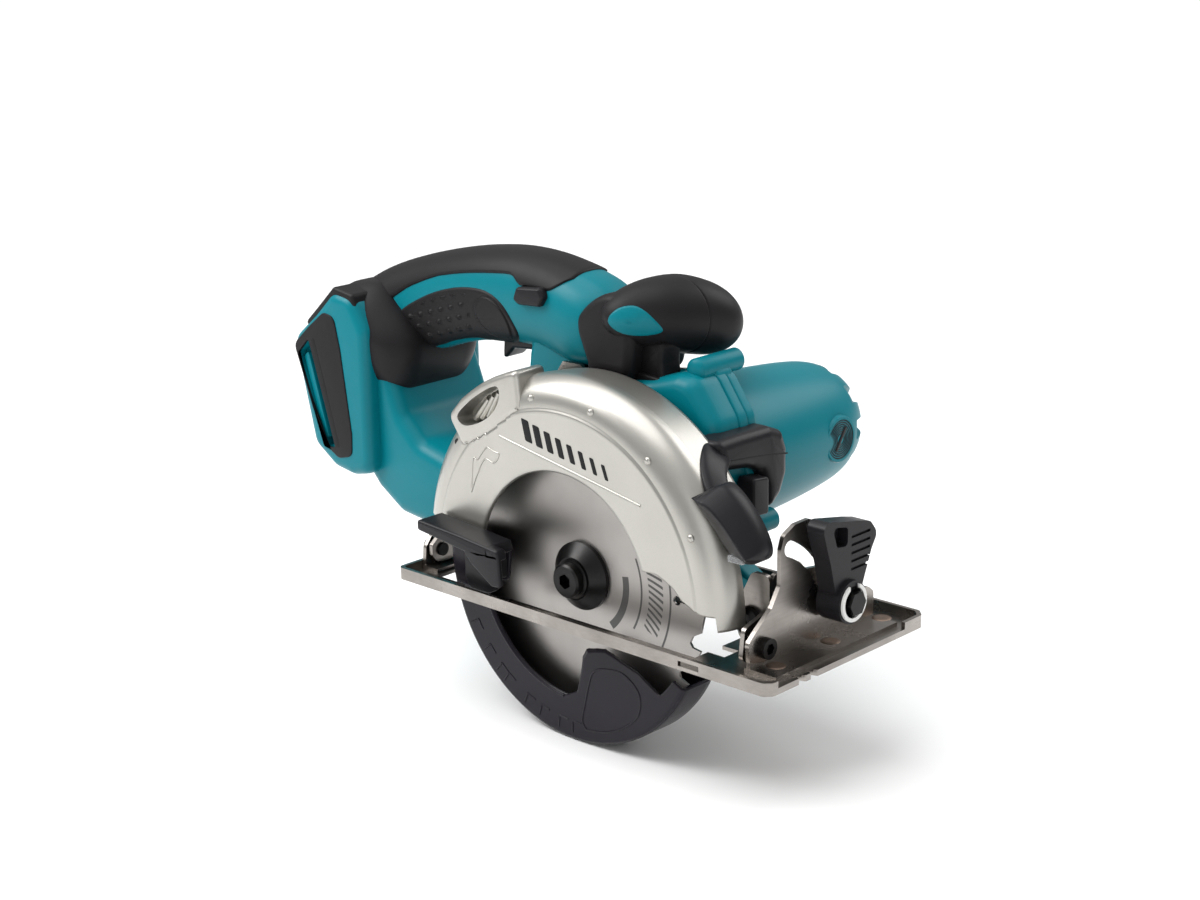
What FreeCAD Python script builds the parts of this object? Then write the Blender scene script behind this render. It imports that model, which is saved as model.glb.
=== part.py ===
import FreeCAD, Part
import math
import os

# Compact battery circular saw. +X is the cutting direction, +Y points to the motor side and +Z is up.
# The origin lies on the sole, straight below the blade's centre. Everything is in millimetres.

# blade and spindle
axisZ = 17.0
bladeR = 68.0
bladeHalf = 0.6
toothCount = 24
bladeBore = 10.0
spindleR = 5.0
flangeR = 15.0

# reduction gears: the motor pinion drives the idler, and the idler drives the spindle
gearModule = 1.0
pinionTeeth = 12
idlerTeeth = 52
idlerPinionTeeth = 13
spindleTeeth = 23
pressureAngle = math.radians(25)
backlash = 0.16
trainAngle = math.radians(64.3)
spindleGearY = (26.0, 34.0)
idlerGearY = (35.0, 41.0)
idlerPinR = 4.0
shaftR = 3.0
runFit = 0.05

# guards
guardOuterR = 88.0
guardCreaseR = 74.5
guardOpeningR = 48.0
guardFaceY = -14.0
guardBackY = (14.0, 16.0)
guardWall = 1.6
lowerGuardR = 72.5
lowerGuardY = (-10.2, 9.0)
lowerGuardWall = 1.5
hubInnerR = 11.5
hubOuterR = 16.8

# gear case and motor
bearingBoxY = (16.0, 20.0)
gearCaseY = (20.0, 44.0)
gearCoverY = (44.0, 49.0)
motorY = (49.0, 140.0)
motorWall = 2.5
brushY = 110.0
bearingBoreR = 9.5

# base
baseX = (-94.0, 119.0)
baseY = (-23.0, 82.0)
plateThick = 1.6
rimHeight = 5.5
windowX = (-80.0, 72.4)
windowY = (-12.0, 32.0)
fenceSlotX = (72.8, 83.6)
fenceSlotZ = (1.6, 3.8)

# bevel and depth pivots
bevelY = -2.0
bevelZ = 10.0
sectorX = (98.0, 100.0)
slotR = 40.2
slotHalf = 3.3
clampAngle = 16.6
bevelTravel = 50.0
clampScrewR = 3.0
depthX = 85.0
depthZ = 15.0
depthPinR = 3.5
depthTravel = 25.0
depthBoltX = -50.0
depthBoltZ = 40.0
arcY = (21.0, 23.0)

# handle
handleY = 38.0
mountY = (0.0, 76.0)
rubberThick = 2.0

V = FreeCAD.Vector
alongX = V(1, 0, 0)
alongY = V(0, 1, 0)
alongZ = V(0, 0, 1)

gearSpan = (idlerPinionTeeth + spindleTeeth) * gearModule / 2
idlerAt = (gearSpan * math.cos(trainAngle), axisZ + gearSpan * math.sin(trainAngle))
motorSpan = gearSpan + (pinionTeeth + idlerTeeth) * gearModule / 2
motorAt = (motorSpan * math.cos(trainAngle), axisZ + motorSpan * math.sin(trainAngle))
spindleAt = (0.0, axisZ)


# small helpers

def inPlane(plane, a, b, level):
    """A point at (a, b) in a plane named by its two axes, at the given level of the third axis."""
    if plane == "xz":
        return V(a, level, b)
    if plane == "yz":
        return V(level, a, b)
    return V(a, b, level)


def outline(points, radius, plane, level):
    """A closed wire through the points, with each corner rounded to at most the given radius."""
    corners = [inPlane(plane, a, b, level) for a, b in points]
    count = len(corners)
    starts = []
    ends = []
    mids = []
    for i, corner in enumerate(corners):
        toBack = corners[i - 1] - corner
        toNext = corners[(i + 1) % count] - corner
        turn = toBack.getAngle(toNext)
        reach = 0.0
        if radius > 0 and 0.05 < turn < math.pi - 0.03:
            reach = min(radius / math.tan(turn / 2), 0.46 * toBack.Length, 0.46 * toNext.Length)
        toBack.normalize()
        toNext.normalize()
        starts.append(corner + toBack * reach)
        ends.append(corner + toNext * reach)
        if reach > 0:
            r = reach * math.tan(turn / 2)
            middle = toBack + toNext
            middle.normalize()
            mids.append(corner + middle * (r / math.sin(turn / 2) - r))
        else:
            mids.append(None)
    edges = []
    for i in range(count):
        if mids[i] is not None:
            edges.append(Part.Arc(starts[i], mids[i], ends[i]).toShape())
        following = starts[(i + 1) % count]
        if (following - ends[i]).Length > 1e-6:
            edges.append(Part.makeLine(ends[i], following))
    return Part.Wire(edges)


def slab(points, low, high, plane="xz", radius=0.0):
    """An outline thickened from low to high along the axis that its plane leaves out."""
    face = Part.Face(outline(points, radius, plane, low))
    travel = inPlane(plane, 0, 0, high - low)
    return face.extrude(travel)


def disc(r, span, at):
    """A cylinder along Y over a span, round the axis at (x, z)."""
    return Part.makeCylinder(r, span[1] - span[0], V(at[0], span[0], at[1]), alongY)


def ring(outer, inner, span, at):
    return disc(outer, span, at).cut(disc(inner, (span[0] - 1, span[1] + 1), at))


def rod(r, start, end):
    line = V(*end) - V(*start)
    return Part.makeCylinder(r, line.Length, V(*start), line)


def block(x, y, z):
    return Part.makeBox(x[1] - x[0], y[1] - y[0], z[1] - z[0], V(x[0], y[0], z[0]))


def fuse(shapes):
    """All the shapes as one solid, with needless seams removed."""
    body = shapes[0]
    for shape in shapes[1:]:
        body = body.fuse(shape)
    return body.removeSplitter()


def turned(shape, degrees, at=spindleAt):
    copy = shape.copy()
    copy.rotate(V(at[0], 0, at[1]), alongY, -degrees)
    return copy


def polar(r, degrees, at=spindleAt):
    a = math.radians(degrees)
    return (at[0] + r * math.cos(a), at[1] + r * math.sin(a))


def spun(profile, at, degrees=360.0):
    """A profile of (radius, y) points turned round an axis along Y."""
    wire = Part.makePolygon([V(at[0] + r, y, at[1]) for r, y in profile + profile[:1]])
    return Part.Face(wire).revolve(V(at[0], 0, at[1]), alongY, degrees)


def sector(outer, inner, span, start, end, at=spindleAt):
    """A piece of a ring between two angles, counted from +X towards +Z."""
    piece = Part.makeCylinder(outer, span[1] - span[0], V(0, 0, 0), alongZ, end - start)
    if inner > 0:
        piece = piece.cut(Part.makeCylinder(inner, span[1] - span[0], V(0, 0, 0), alongZ, 360))
    piece.rotate(V(0, 0, 0), alongZ, start)
    piece.rotate(V(0, 0, 0), alongX, 90)
    piece.translate(V(at[0], span[1], at[1]))
    return piece


def oval(centre, halfWide, halfTall, tilt, power=2.5):
    """A rounded closed curve across the handle: wide along Y, tall square to the handle's run."""
    lean = math.radians(tilt)
    points = []
    for i in range(20):
        a = 2 * math.pi * i / 20
        c = math.cos(a)
        s = math.sin(a)
        wide = halfWide * math.copysign(abs(c) ** (2 / power), c)
        tall = halfTall * math.copysign(abs(s) ** (2 / power), s)
        points.append(V(centre[0] - tall * math.sin(lean), centre[1] + wide, centre[2] + tall * math.cos(lean)))
    curve = Part.BSplineCurve()
    curve.interpolate(points, PeriodicFlag=True)
    return Part.Wire([curve.toShape()])


def save(name, shape):
    if shape.ShapeType != "Solid" and len(shape.Solids) == 1:
        shape = shape.Solids[0]
    print(name, len(shape.Solids), shape.isValid(), round(shape.Volume))
    shape.exportStep("parts/" + name + ".step")


# gears, blade and spindle

def gear(teeth, span, at, toothAngle, bore):
    """A spur gear with involute flanks, one tooth centred on toothAngle (radians)."""
    pitchR = teeth * gearModule / 2
    baseR = pitchR * math.cos(pressureAngle)
    tipR = pitchR + 0.92 * gearModule
    rootR = pitchR - 1.2 * gearModule
    halfTooth = math.pi / (2 * teeth) - backlash / (2 * pitchR)
    pitchInvolute = math.tan(pressureAngle) - pressureAngle
    flank = []
    for i in range(5):
        r = max(baseR, rootR) + (tipR - max(baseR, rootR)) * i / 4
        roll = math.acos(min(1.0, baseR / r))
        flank.append((r, halfTooth + pitchInvolute - (math.tan(roll) - roll)))
    flank.insert(0, (rootR, flank[0][1] + 0.2 / teeth))
    points = []
    for tooth in range(teeth):
        middle = toothAngle + 2 * math.pi * tooth / teeth
        points += [(r, middle - offset) for r, offset in flank]
        points += [(r, middle + offset) for r, offset in reversed(flank)]
    wire = [V(at[0] + r * math.cos(a), span[0], at[1] + r * math.sin(a)) for r, a in points]
    blank = Part.Face(Part.makePolygon(wire + wire[:1])).extrude(V(0, span[1] - span[0], 0))
    return blank.cut(disc(bore, (span[0] - 1, span[1] + 1), at))


def blade():
    """A thin disc with hooked teeth, gullets between them and four expansion slots."""
    pitch = 360.0 / toothCount
    rim = []
    for tooth in range(toothCount):
        start = tooth * pitch
        rim.append(polar(bladeR - 6.2, start + 0.02 * pitch))
        rim.append(polar(bladeR - 5.4, start + 0.22 * pitch))
        rim.append(polar(bladeR - 1.6, start + 0.40 * pitch))
        rim.append(polar(bladeR, start + 0.96 * pitch))
        rim.append(polar(bladeR - 4.4, start + 0.93 * pitch))
    body = slab(rim, -bladeHalf, bladeHalf)
    body = body.cut(disc(bladeBore, (-2, 2), spindleAt))
    for quarter in range(4):
        angle = quarter * 90 + 0.07 * pitch
        slot = block((bladeR - 15, bladeR), (-2, 2), (axisZ - 0.5, axisZ + 0.5))
        eye = disc(2.0, (-2, 2), (bladeR - 15, axisZ))
        body = body.cut(turned(slot.fuse(eye), angle))
    return body


def bladeParts():
    save("blade", blade())
    inner = spun([(spindleR, 6), (spindleR, -0.5), (bladeBore - 0.05, -0.5), (bladeBore - 0.05, bladeHalf),
                  (flangeR, bladeHalf), (flangeR, 3.2), (10, 6)], spindleAt)
    save("inner_flange", inner)
    outer = spun([(4.1, -7), (9.4, -7), (flangeR, -2.4), (flangeR, -bladeHalf), (4.1, -bladeHalf)], spindleAt)
    save("outer_flange", outer)
    head = spun([(0, -12), (6.6, -12), (7.4, -11.2), (7.4, -8), (8.6, -7.6), (8.6, -7), (0, -7)], spindleAt)
    socket = slab([polar(3.4, 60 * i + 30) for i in range(6)], -13, -8)
    shank = disc(3.95, (-7, 14), spindleAt)
    save("blade_bolt", fuse([head.cut(socket), shank]))
    spindle = disc(spindleR, (-0.5, 34.3), spindleAt).cut(disc(4.0, (-1, 15), spindleAt))
    save("spindle", spindle)
    save("spindle_gear", gear(spindleTeeth, spindleGearY, spindleAt, trainAngle, spindleR))


def gearParts():
    facing = trainAngle + math.pi
    pinion = gear(idlerPinionTeeth, (spindleGearY[0], idlerGearY[0] + 2), idlerAt,
                  facing + math.pi / idlerPinionTeeth, idlerPinR + runFit)
    wheel = gear(idlerTeeth, idlerGearY, idlerAt, trainAngle, idlerPinR + runFit)
    save("idler_gear", pinion.fuse(wheel))
    save("idler_pin", disc(idlerPinR, (20.5, 48), idlerAt))
    motorPinion = gear(pinionTeeth, idlerGearY, motorAt, facing + math.pi / pinionTeeth, shaftR)
    save("motor_pinion", motorPinion)


# motor

def armature():
    save("armature_shaft", disc(shaftR, (34, 133), motorAt))
    core = ring(17.0, shaftR, (62, 96), motorAt)
    for i in range(12):
        slot = block((motorAt[0] + 14, motorAt[0] + 18), (61, 97), (motorAt[1] - 0.8, motorAt[1] + 0.8))
        core = core.cut(turned(slot, 30 * i, motorAt))
    save("armature_core", core)
    save("commutator", ring(9.0, shaftR, (104, 116), motorAt))
    fan = ring(8.0, shaftR, (51, 57.5), motorAt).fuse(ring(26.0, 7.0, (51, 52.2), motorAt))
    for i in range(12):
        vane = block((motorAt[0] + 7.5, motorAt[0] + 25.5), (51, 57.5), (motorAt[1] - 0.6, motorAt[1] + 0.6))
        fan = fan.fuse(turned(vane, 30 * i, motorAt))
    save("motor_fan", fan.removeSplitter())


def motorProfile(shrink):
    """The motor housing's outline as (radius, y): a long taper that rounds over into the end face."""
    return [(33.0 - shrink, motorY[0]), (32.4 - shrink, 75), (31.2 - shrink, 98), (29.6 - shrink, 115),
            (27.6 - shrink, 125), (24.4 - shrink, 133), (19.5 - shrink, motorY[1])]


def motorHousing():
    outside = spun(motorProfile(0.0) + [(0, motorY[1]), (0, motorY[0])], motorAt)
    inside = motorProfile(motorWall)[:-1]
    hollow = spun([(inside[0][0], motorY[0] - 1)] + inside + [(inside[-1][0] - 2, motorY[1] - 3),
                  (0, motorY[1] - 3), (0, motorY[0] - 1)], motorAt)
    body = outside.cut(hollow)
    body = body.fuse(ring(10.5, 8.0, (128, motorY[1] - 2.5), motorAt))
    for i in range(10):
        vent = block((motorAt[0] + 12.5, motorAt[0] + 27), (131.5, 142), (motorAt[1] - 1.7, motorAt[1] + 1.7))
        body = body.cut(turned(vent, 36 * i + 18, motorAt))
    for side in (-1, 1):
        start = (motorAt[0] + side * 20, brushY, motorAt[1])
        end = (motorAt[0] + side * 40, brushY, motorAt[1])
        body = body.cut(rod(8.7, start, end))
        seat = (motorAt[0] + side * 25, brushY, motorAt[1])
        rim = (motorAt[0] + side * 30.6, brushY, motorAt[1])
        collar = rod(10.4, seat, rim).cut(rod(8.7, start, end))
        body = body.fuse(collar)
    return body.removeSplitter()


def brushCap(side):
    """A round screw-in cap with a coin slot, and its seat for the brush spring."""
    x = motorAt[0]
    cap = rod(8.6, (x + side * 26, brushY, motorAt[1]), (x + side * 30, brushY, motorAt[1]))
    slot = block((-1.4, 1.4), (-0.8, 0.8), (-5.5, 5.5))
    slot.rotate(V(0, 0, 0), alongX, 25)
    slot.translate(V(x + side * 30, brushY, motorAt[1]))
    return cap.cut(slot)


def motorParts():
    armature()
    save("motor_housing", motorHousing())
    can = ring(28.2, 25.4, (60, 98), motorAt)
    magnets = [sector(25.3, 18.0, (64, 94), start, start + 130, motorAt) for start in (25, 205)]
    save("motor_stator", Part.makeCompound([can] + magnets))
    save("brush_caps", Part.makeCompound([brushCap(side) for side in (-1, 1)]))
    x, z = motorAt
    brushes = []
    holders = []
    for side in (-1, 1):
        low, high = sorted((x + side * 9.2, x + side * 22))
        brushes.append(block((low, high), (brushY - 3, brushY + 3), (z - 4, z + 4)))
        low, high = sorted((x + side * 12, x + side * 25.8))
        tube = block((low, high), (brushY - 4.6, brushY + 4.6), (z - 5.6, z + 5.6))
        bore = block((low - 1, high + 1), (brushY - 3, brushY + 3), (z - 4, z + 4))
        holders.append(tube.cut(bore))
    save("carbon_brushes", Part.makeCompound(brushes))
    save("brush_holders", Part.makeCompound(holders))
    bearings = [ring(8.0, shaftR + runFit, (y, y + 5), motorAt) for y in (gearCoverY[0], 128.0)]
    save("motor_bearings", Part.makeCompound(bearings))


# gear case

def caseOutline():
    """The gear case from the side: round below the spindle, round the idler, and up to the handle's root."""
    return [(0, 2.4), (-11.5, 7.4), (-14.6, 19), (-24, 34), (-25, 62), (-23, 97), (-1, 98), (20, 103), (35, 111),
            (42, 105), (53, 87), (57, 62), (50, 34), (31, 12), (11.5, 7.4)]


def gearCase():
    body = slab(caseOutline(), gearCaseY[0] + 4.5, gearCaseY[1], radius=8)
    nose = fuse([disc(14.6, (gearCaseY[0], 26), spindleAt), disc(29.5, (gearCaseY[0], 26), idlerAt)])
    floor = block((-60, 60), (0, 60), (-20, 2.4))
    body = fuse([body, nose]).cut(floor)
    body = body.cut(disc(13.1, (23, 36), spindleAt))
    body = body.cut(disc(28.4, (23, gearCaseY[1] + 1), idlerAt))
    body = body.cut(disc(11.0, (33, gearCaseY[1] + 1), motorAt))
    body = body.cut(disc(12.6, (gearCaseY[0] - 1, 24), spindleAt))
    body = body.cut(disc(idlerPinR, (20.5, 24), idlerAt))
    buttonBay = block((54, 70), (30.4, 41.7), (47.3, 65.7))
    body = body.cut(buttonBay)
    lugEdge = [(38, 12), (60, 7.5), (88, 7), (91.6, 12), (91.6, 21), (84, 25), (56, 44), (40, 40)]
    lug = slab(lugEdge, 10.0, 26.2, radius=6)
    lug = lug.cut(block((0, 66.4), (0, guardBackY[1]), (-10, 100)))
    lug = lug.cut(disc(depthPinR + runFit, (0, 40), (depthX, depthZ)))
    lug = lug.cut(disc(48.0, (0, gearCaseY[0]), spindleAt))
    body = fuse([body, lug])
    boss = rod(4.6, (36, 30, 106), (36, 58, 106))
    lowBoss = rod(4.6, (52, 34, 38), (52, 62, 38))
    return fuse([body, boss, lowBoss])


def gearCover():
    body = slab(caseOutline(), gearCoverY[0], gearCoverY[1], radius=8)
    for boss in ((36, 106), (52, 38)):
        body = body.cut(disc(4.65, (40, 60), boss))
    body = body.cut(disc(8.0, (40, 60), motorAt))
    return body.cut(disc(idlerPinR, (40, 48), idlerAt))


def bearingBox():
    """The spindle's carrier: a tube for the two bearings, with a flange that the guard is screwed to."""
    tube = disc(hubInnerR, (6.5, 17), spindleAt)
    flange = disc(29.0, bearingBoxY, spindleAt)
    body = fuse([tube, flange, disc(12.5, (19, 25), spindleAt)])
    body = body.cut(block((-60, 60), (14, 30), (-30, 2.4)))
    body = body.cut(disc(7.0, (0, 30), spindleAt))
    body = body.cut(disc(bearingBoreR, (0, 13.5), spindleAt))
    return body.cut(disc(bearingBoreR, (20, 30), spindleAt))


def caseParts():
    save("gear_housing", gearCase())
    save("gear_cover", gearCover())
    save("bearing_box", bearingBox())
    bearings = [ring(bearingBoreR, spindleR + runFit, (y, y + 5), spindleAt) for y in (8.5, 20.0)]
    save("spindle_bearings", Part.makeCompound(bearings))


# guards

def upperGuard():
    """A turned shell round the blade: flat face, domed rim and back wall, cut away below."""
    face = guardFaceY
    outer = [(guardOpeningR, face), (guardCreaseR - 3, face), (guardCreaseR, face + 0.5), (80, face + 2.4),
             (84.6, face + 5.6), (87.2, face + 9.2), (guardOuterR, face + 12.5), (87.4, 8), (86, guardBackY[1])]
    inner = [(84, guardBackY[0]), (85.4, 8), (86, face + 12.5), (85, face + 10), (82.8, face + 7.2),
             (79, face + 4.2), (guardCreaseR - 1, face + 2.2), (guardCreaseR - 4, face + guardWall),
             (guardOpeningR, face + guardWall)]
    back = [(17.2, guardBackY[1]), (17.2, guardBackY[0])]
    shell = spun(outer + back + inner, spindleAt)
    pocketEdge = [(-64, 82), (-48, 95), (-36, 101.5), (-25, 104.5), (-24, 88), (-40, 76), (-58, 66)]
    pocketBlock = slab(pocketEdge, face + 0.6, 6, radius=3)
    pocketBlock = pocketBlock.cut(disc(guardCreaseR - 1, (face + guardWall, 20), spindleAt))
    shell = fuse([shell, pocketBlock])
    pocket = [(-61, 84), (-47.5, 93), (-35, 99.5), (-34.5, 87), (-46, 79), (-55, 75), (-60, 78)]
    shell = shell.cut(slab(pocket, face - 2, face + 6, radius=2.5))
    below = [(-130, 30), (-44, 30), (45, 32.5), (54, 33), (63, 29), (67, 25), (76, 20.7), (83, 20.5), (83, 14.4),
             (120, 14.4), (120, -100), (-130, -100)]
    shell = shell.cut(slab(below, face - 10, 40))
    shell = shell.cut(block((66, 120), (1, 40), (0, 52)))
    shell = shell.cut(block((-130, -24), (guardBackY[0] - 3, 40), (20, 33)))
    for angle in (102, 77, 52, 26):
        x, z = polar(79.0, angle)
        shell = shell.fuse(rod(1.6, (x, face + 3.2, z), (x, face + 0.9, z)))
    return shell.removeSplitter()


def lowerGuard():
    """The sprung cup under the blade: near wall with its front fin, rim, far wall and a hub on the bearing box."""
    low, high = lowerGuardY
    farStart, farEnd = 172.0, 333.0
    rim = sector(lowerGuardR, lowerGuardR - lowerGuardWall, (low, high), farStart, farEnd)
    far = sector(lowerGuardR, hubInnerR + 1, (high - lowerGuardWall, high), farStart, farEnd)
    near = sector(lowerGuardR, 52.0, (low, low + lowerGuardWall), farStart, 276.0)
    fin = [polar(lowerGuardR - 1, a) for a in (270, 280, 290, 300, 310, 318)]
    fin += [(54, -29), (48, -21), (37, -13), (20, -9), (10, -11), (7, -17), (7, -26), (5, -35.5)]
    near = near.fuse(slab(fin, low, low + lowerGuardWall))
    tail = sector(lowerGuardR, 60.0, (low, low + lowerGuardWall), 312.0, farEnd)
    lug = slab([(-36, 8), (-60, 8), (-66, 20), (-62, 28), (-34, 26)], low, low + lowerGuardWall, radius=4)
    hub = ring(hubOuterR, hubInnerR + runFit, (high - lowerGuardWall, 13.6), spindleAt)
    groove = ring(15.9, 13.1, (9.4, 15), spindleAt)
    body = fuse([rim, far, near, tail, lug, hub]).cut(groove)
    body = body.cut(disc(hubInnerR + runFit, (0, 20), spindleAt))
    return body


def guardLever():
    """The retracting lever: a sloping thumb shelf with a turned-down lip, and a leg that reaches the guard's lug."""
    top = [(-72, 34), (-46, 32), (-22, 30), (-21, 25.5), (-34, 25.0), (-72, 29.5)]
    shelf = slab(top, -30, -15.2, radius=1.5).cut(block((-27.2, -20), (-24.4, -15), (20, 35)))
    lip = slab([(-40, 26), (-21, 27), (-20.5, 14), (-26, 14), (-38, 22)], -30, -27.8, radius=2)
    leg = slab([(-56.5, 28), (-36, 28), (-36, 6), (-42, 3), (-54, 3), (-56.5, 8)], -16.7, -15.0, radius=3)
    foot = slab([(-46.5, 24), (-36, 24), (-36, 10), (-46.5, 10)], -15.5, lowerGuardY[0], radius=2)
    hole = disc(1.7, (-20, 0), (-41, 17))
    return fuse([shelf, lip, leg, foot]).cut(hole)


def guardParts():
    save("upper_guard", upperGuard())
    save("lower_guard", lowerGuard())
    save("guard_lever", guardLever())
    shank = rod(1.7, (-41, lowerGuardY[0], axisZ), (-41, -17, axisZ))
    save("guard_lever_screw", fuse([shank, rod(3.3, (-41, -17, axisZ), (-41, -19, axisZ))]))
    path = Part.makeHelix(1.3, 2.9, 14.5)
    path.rotate(V(0, 0, 0), alongX, -90)
    path.translate(V(0, 9.95, axisZ))
    start = path.Vertexes[0].Point
    along = path.Edges[0].tangentAt(path.Edges[0].FirstParameter)
    section = Part.Wire([Part.Circle(start, along, 0.45).toShape()])
    save("guard_spring", Part.Wire(path.Edges).makePipeShell([section], True, True))
    clip = ring(14.0, hubInnerR, (6.5, 7.3), spindleAt)
    save("guard_snap_ring", clip.cut(block((-1.5, 1.5), (6, 8), (axisZ + 5, axisZ + 20))))


# base, bevel and depth

def basePlate():
    """A pressed tray: flat sole with the edges turned up, a window for the guards and a slot for a rip fence."""
    x0, x1 = baseX
    y0, y1 = baseY
    edge = [(x0, y0), (x1 - 3, y0), (x1, y0 + 3), (x1, y1 - 4), (x1 - 4, y1), (x0 + 6, y1), (x0, y1 - 6)]
    tray = slab(edge, 0, rimHeight, "xy", 3)
    inset = 1.8
    inner = [(x0 + inset, y0 + inset), (x1 - 3 - inset, y0 + inset), (x1 - inset, y0 + 3 + inset),
             (x1 - inset, y1 - 5), (x1 - 5, y1 - inset), (x0 + 6 + inset, y1 - inset),
             (x0 + inset, y1 - 6 - inset)]
    tray = tray.cut(slab(inner, plateThick, 20, "xy", 2))
    tray = tray.cut(block((x1 - 4, x1 + 4), (y0 + 6, y1 - 16), (2.6, 20)))
    tray = tray.cut(block(windowX, windowY, (-1, 20)))
    tray = tray.cut(block((-62, -33), (-20.0, 0), (-1, 20)))
    tray = tray.cut(block((70, 81), (-4, 5), (-1, 20)))
    for y in (y0, y1):
        tray = tray.cut(block(fenceSlotX, (y - 3, y + 3), fenceSlotZ))
    for y in (-2.0, 5.5):
        tray = tray.cut(slab([(x1 - 6, y), (x1 + 2, y - 3), (x1 + 2, y + 3)], -1, 9, "xy"))
    return tray.removeSplitter()


def bevelPoint(r, degrees):
    a = math.radians(degrees)
    return (bevelY + r * math.cos(a), bevelZ + r * math.sin(a))


def bevelSlot(low, high):
    """The curved slot for the clamp screw, with round ends."""
    a0, a1 = clampAngle - 0.5, clampAngle + bevelTravel + 0.5
    steps = [a0 + (a1 - a0) * i / 10 for i in range(11)]
    points = [bevelPoint(slotR + slotHalf, a) for a in steps]
    points += [bevelPoint(slotR - slotHalf, a) for a in reversed(steps)]
    slot = slab(points, low, high, "yz")
    for a in (a0, a1):
        y, z = bevelPoint(slotR, a)
        slot = slot.fuse(rod(slotHalf, (low, y, z), (high, y, z)))
    return slot


def bevelSector():
    """The pressed quadrant at the front of the base: foot, upright with the bevel scale's edge, and end tab."""
    low, high = sectorX
    foot = block((97, 113), (-11, 69), (plateThick, plateThick + 1.8))
    rimPoints = [bevelPoint(55.5, a) for a in (17, 24, 31, 38, 45, 52)]
    plate = [(-11, plateThick), (69, plateThick), (69, 6), (56, 10), (52, 16)] + rimPoints
    plate += [(26, 56.4), (17, 56.2), (10, 53), (8.2, 48), (8.0, 33), (2.5, 25), (-7, 18), (-12, 14), (-11, 6)]
    upright = slab(plate, low, high, "yz", 3)
    tabEdge = [(56, plateThick), (70, plateThick), (70, 14), (66, 17), (60, 17), (56, 12)]
    tab = slab(tabEdge, low, high, "yz", 3)
    body = fuse([foot, upright, tab]).cut(bevelSlot(low - 2, high + 2))
    return body.cut(rod(3.0, (low - 2, bevelY, bevelZ), (high + 2, bevelY, bevelZ)))


def rearBracket():
    """The ear at the back of the base that carries the rear bevel pivot."""
    ear = slab([(-10, plateThick), (8, plateThick), (6, 12), (1, 17), (-5, 17), (-9, 12)], -92, -90, "yz", 3)
    foot = block((-92, -82), (-10, 8), (plateThick, plateThick + 1.8))
    return fuse([ear, foot]).cut(rod(3.0, (-95, bevelY, bevelZ), (-86, bevelY, bevelZ)))


def pivotScrew(head, tip, step):
    """A bevel pivot: round head with a hex socket and a plain shank along X."""
    neck = head + step
    body = rod(4.3, (head, bevelY, bevelZ), (neck, bevelY, bevelZ))
    body = body.fuse(rod(3.0, (neck, bevelY, bevelZ), (tip, bevelY, bevelZ)))
    sides = [polar(2.4, 60 * i, (bevelY, bevelZ)) for i in range(6)]
    start, end = sorted((head - step, head + step * 0.6))
    return body.cut(slab(sides, start, end, "yz")).removeSplitter()


def tiltBracket():
    """The front saddle: two ears on the depth pivot and a front plate that the base tilts on."""
    frontEdge = [(-10, 4), (4, 4), (12, 8), (46, 10), (50, 22), (44, 31), (31, 33), (26, 36), (10, 36),
                 (7, 22), (-8, 18)]
    front = slab(frontEdge, 93, 95, "yz", 3)
    window = slab([(12, 20), (22, 20), (22, 31), (12, 31)], 90, 97, "yz", 3)
    earEdge = [(78, 20), (79, 6.5), (86, 5.5), (95, 5.5), (95, 36), (86, 36)]
    ears = [slab(earEdge, y, y + 2, radius=3) for y in (7.2, 27.2)]
    body = fuse([front.cut(window)] + ears)
    body = body.cut(disc(depthPinR, (0, 40), (depthX, depthZ)))
    body = body.cut(rod(3.0 + runFit, (90, bevelY, bevelZ), (97, bevelY, bevelZ)))
    y, z = bevelPoint(slotR, clampAngle)
    return body.cut(rod(clampScrewR, (90, y, z), (97, y, z)))


def depthArc():
    """The rear depth guide: a slotted arc round the depth pivot, bent over to the rear bevel pivot."""
    pivot = (depthX, depthZ)
    radius = math.hypot(depthX - depthBoltX, depthBoltZ - depthZ)
    rest = 180 - math.degrees(math.atan2(depthBoltZ - depthZ, depthX - depthBoltX))
    low, high = arcY
    guide = sector(radius + 7, radius - 7, (low, high), rest - depthTravel - 4, rest + 8, pivot)
    slot = sector(radius + 3.2, radius - 3.2, (low - 1, high + 1), rest - depthTravel - 0.3, rest + 0.3, pivot)
    guide = guide.cut(slot).cut(block((-60, 0), (low - 1, high + 1), (101.6, 120)))
    for angle in (rest - depthTravel - 0.3, rest + 0.3):
        guide = guide.cut(disc(3.2, (low - 1, high + 1), polar(radius, angle, pivot)))
    legEdge = [(-89, 5), (-48, 5), (-45, 12), (-44.5, 24), (-58, 24), (-62, 16), (-89, 16)]
    crossEdge = [(-2, 3.9), (high, 4.5), (high, 16), (-4, 16.2), (-8, 13), (-8, 8), (-5.5, 5)]
    leg = slab(legEdge, low, high, radius=4)
    cross = slab(crossEdge, -89, -87, "yz", 1.5)
    body = fuse([guide, leg, cross])
    return body.cut(rod(3.0 + runFit, (-95, bevelY, bevelZ), (-80, bevelY, bevelZ)))


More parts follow.
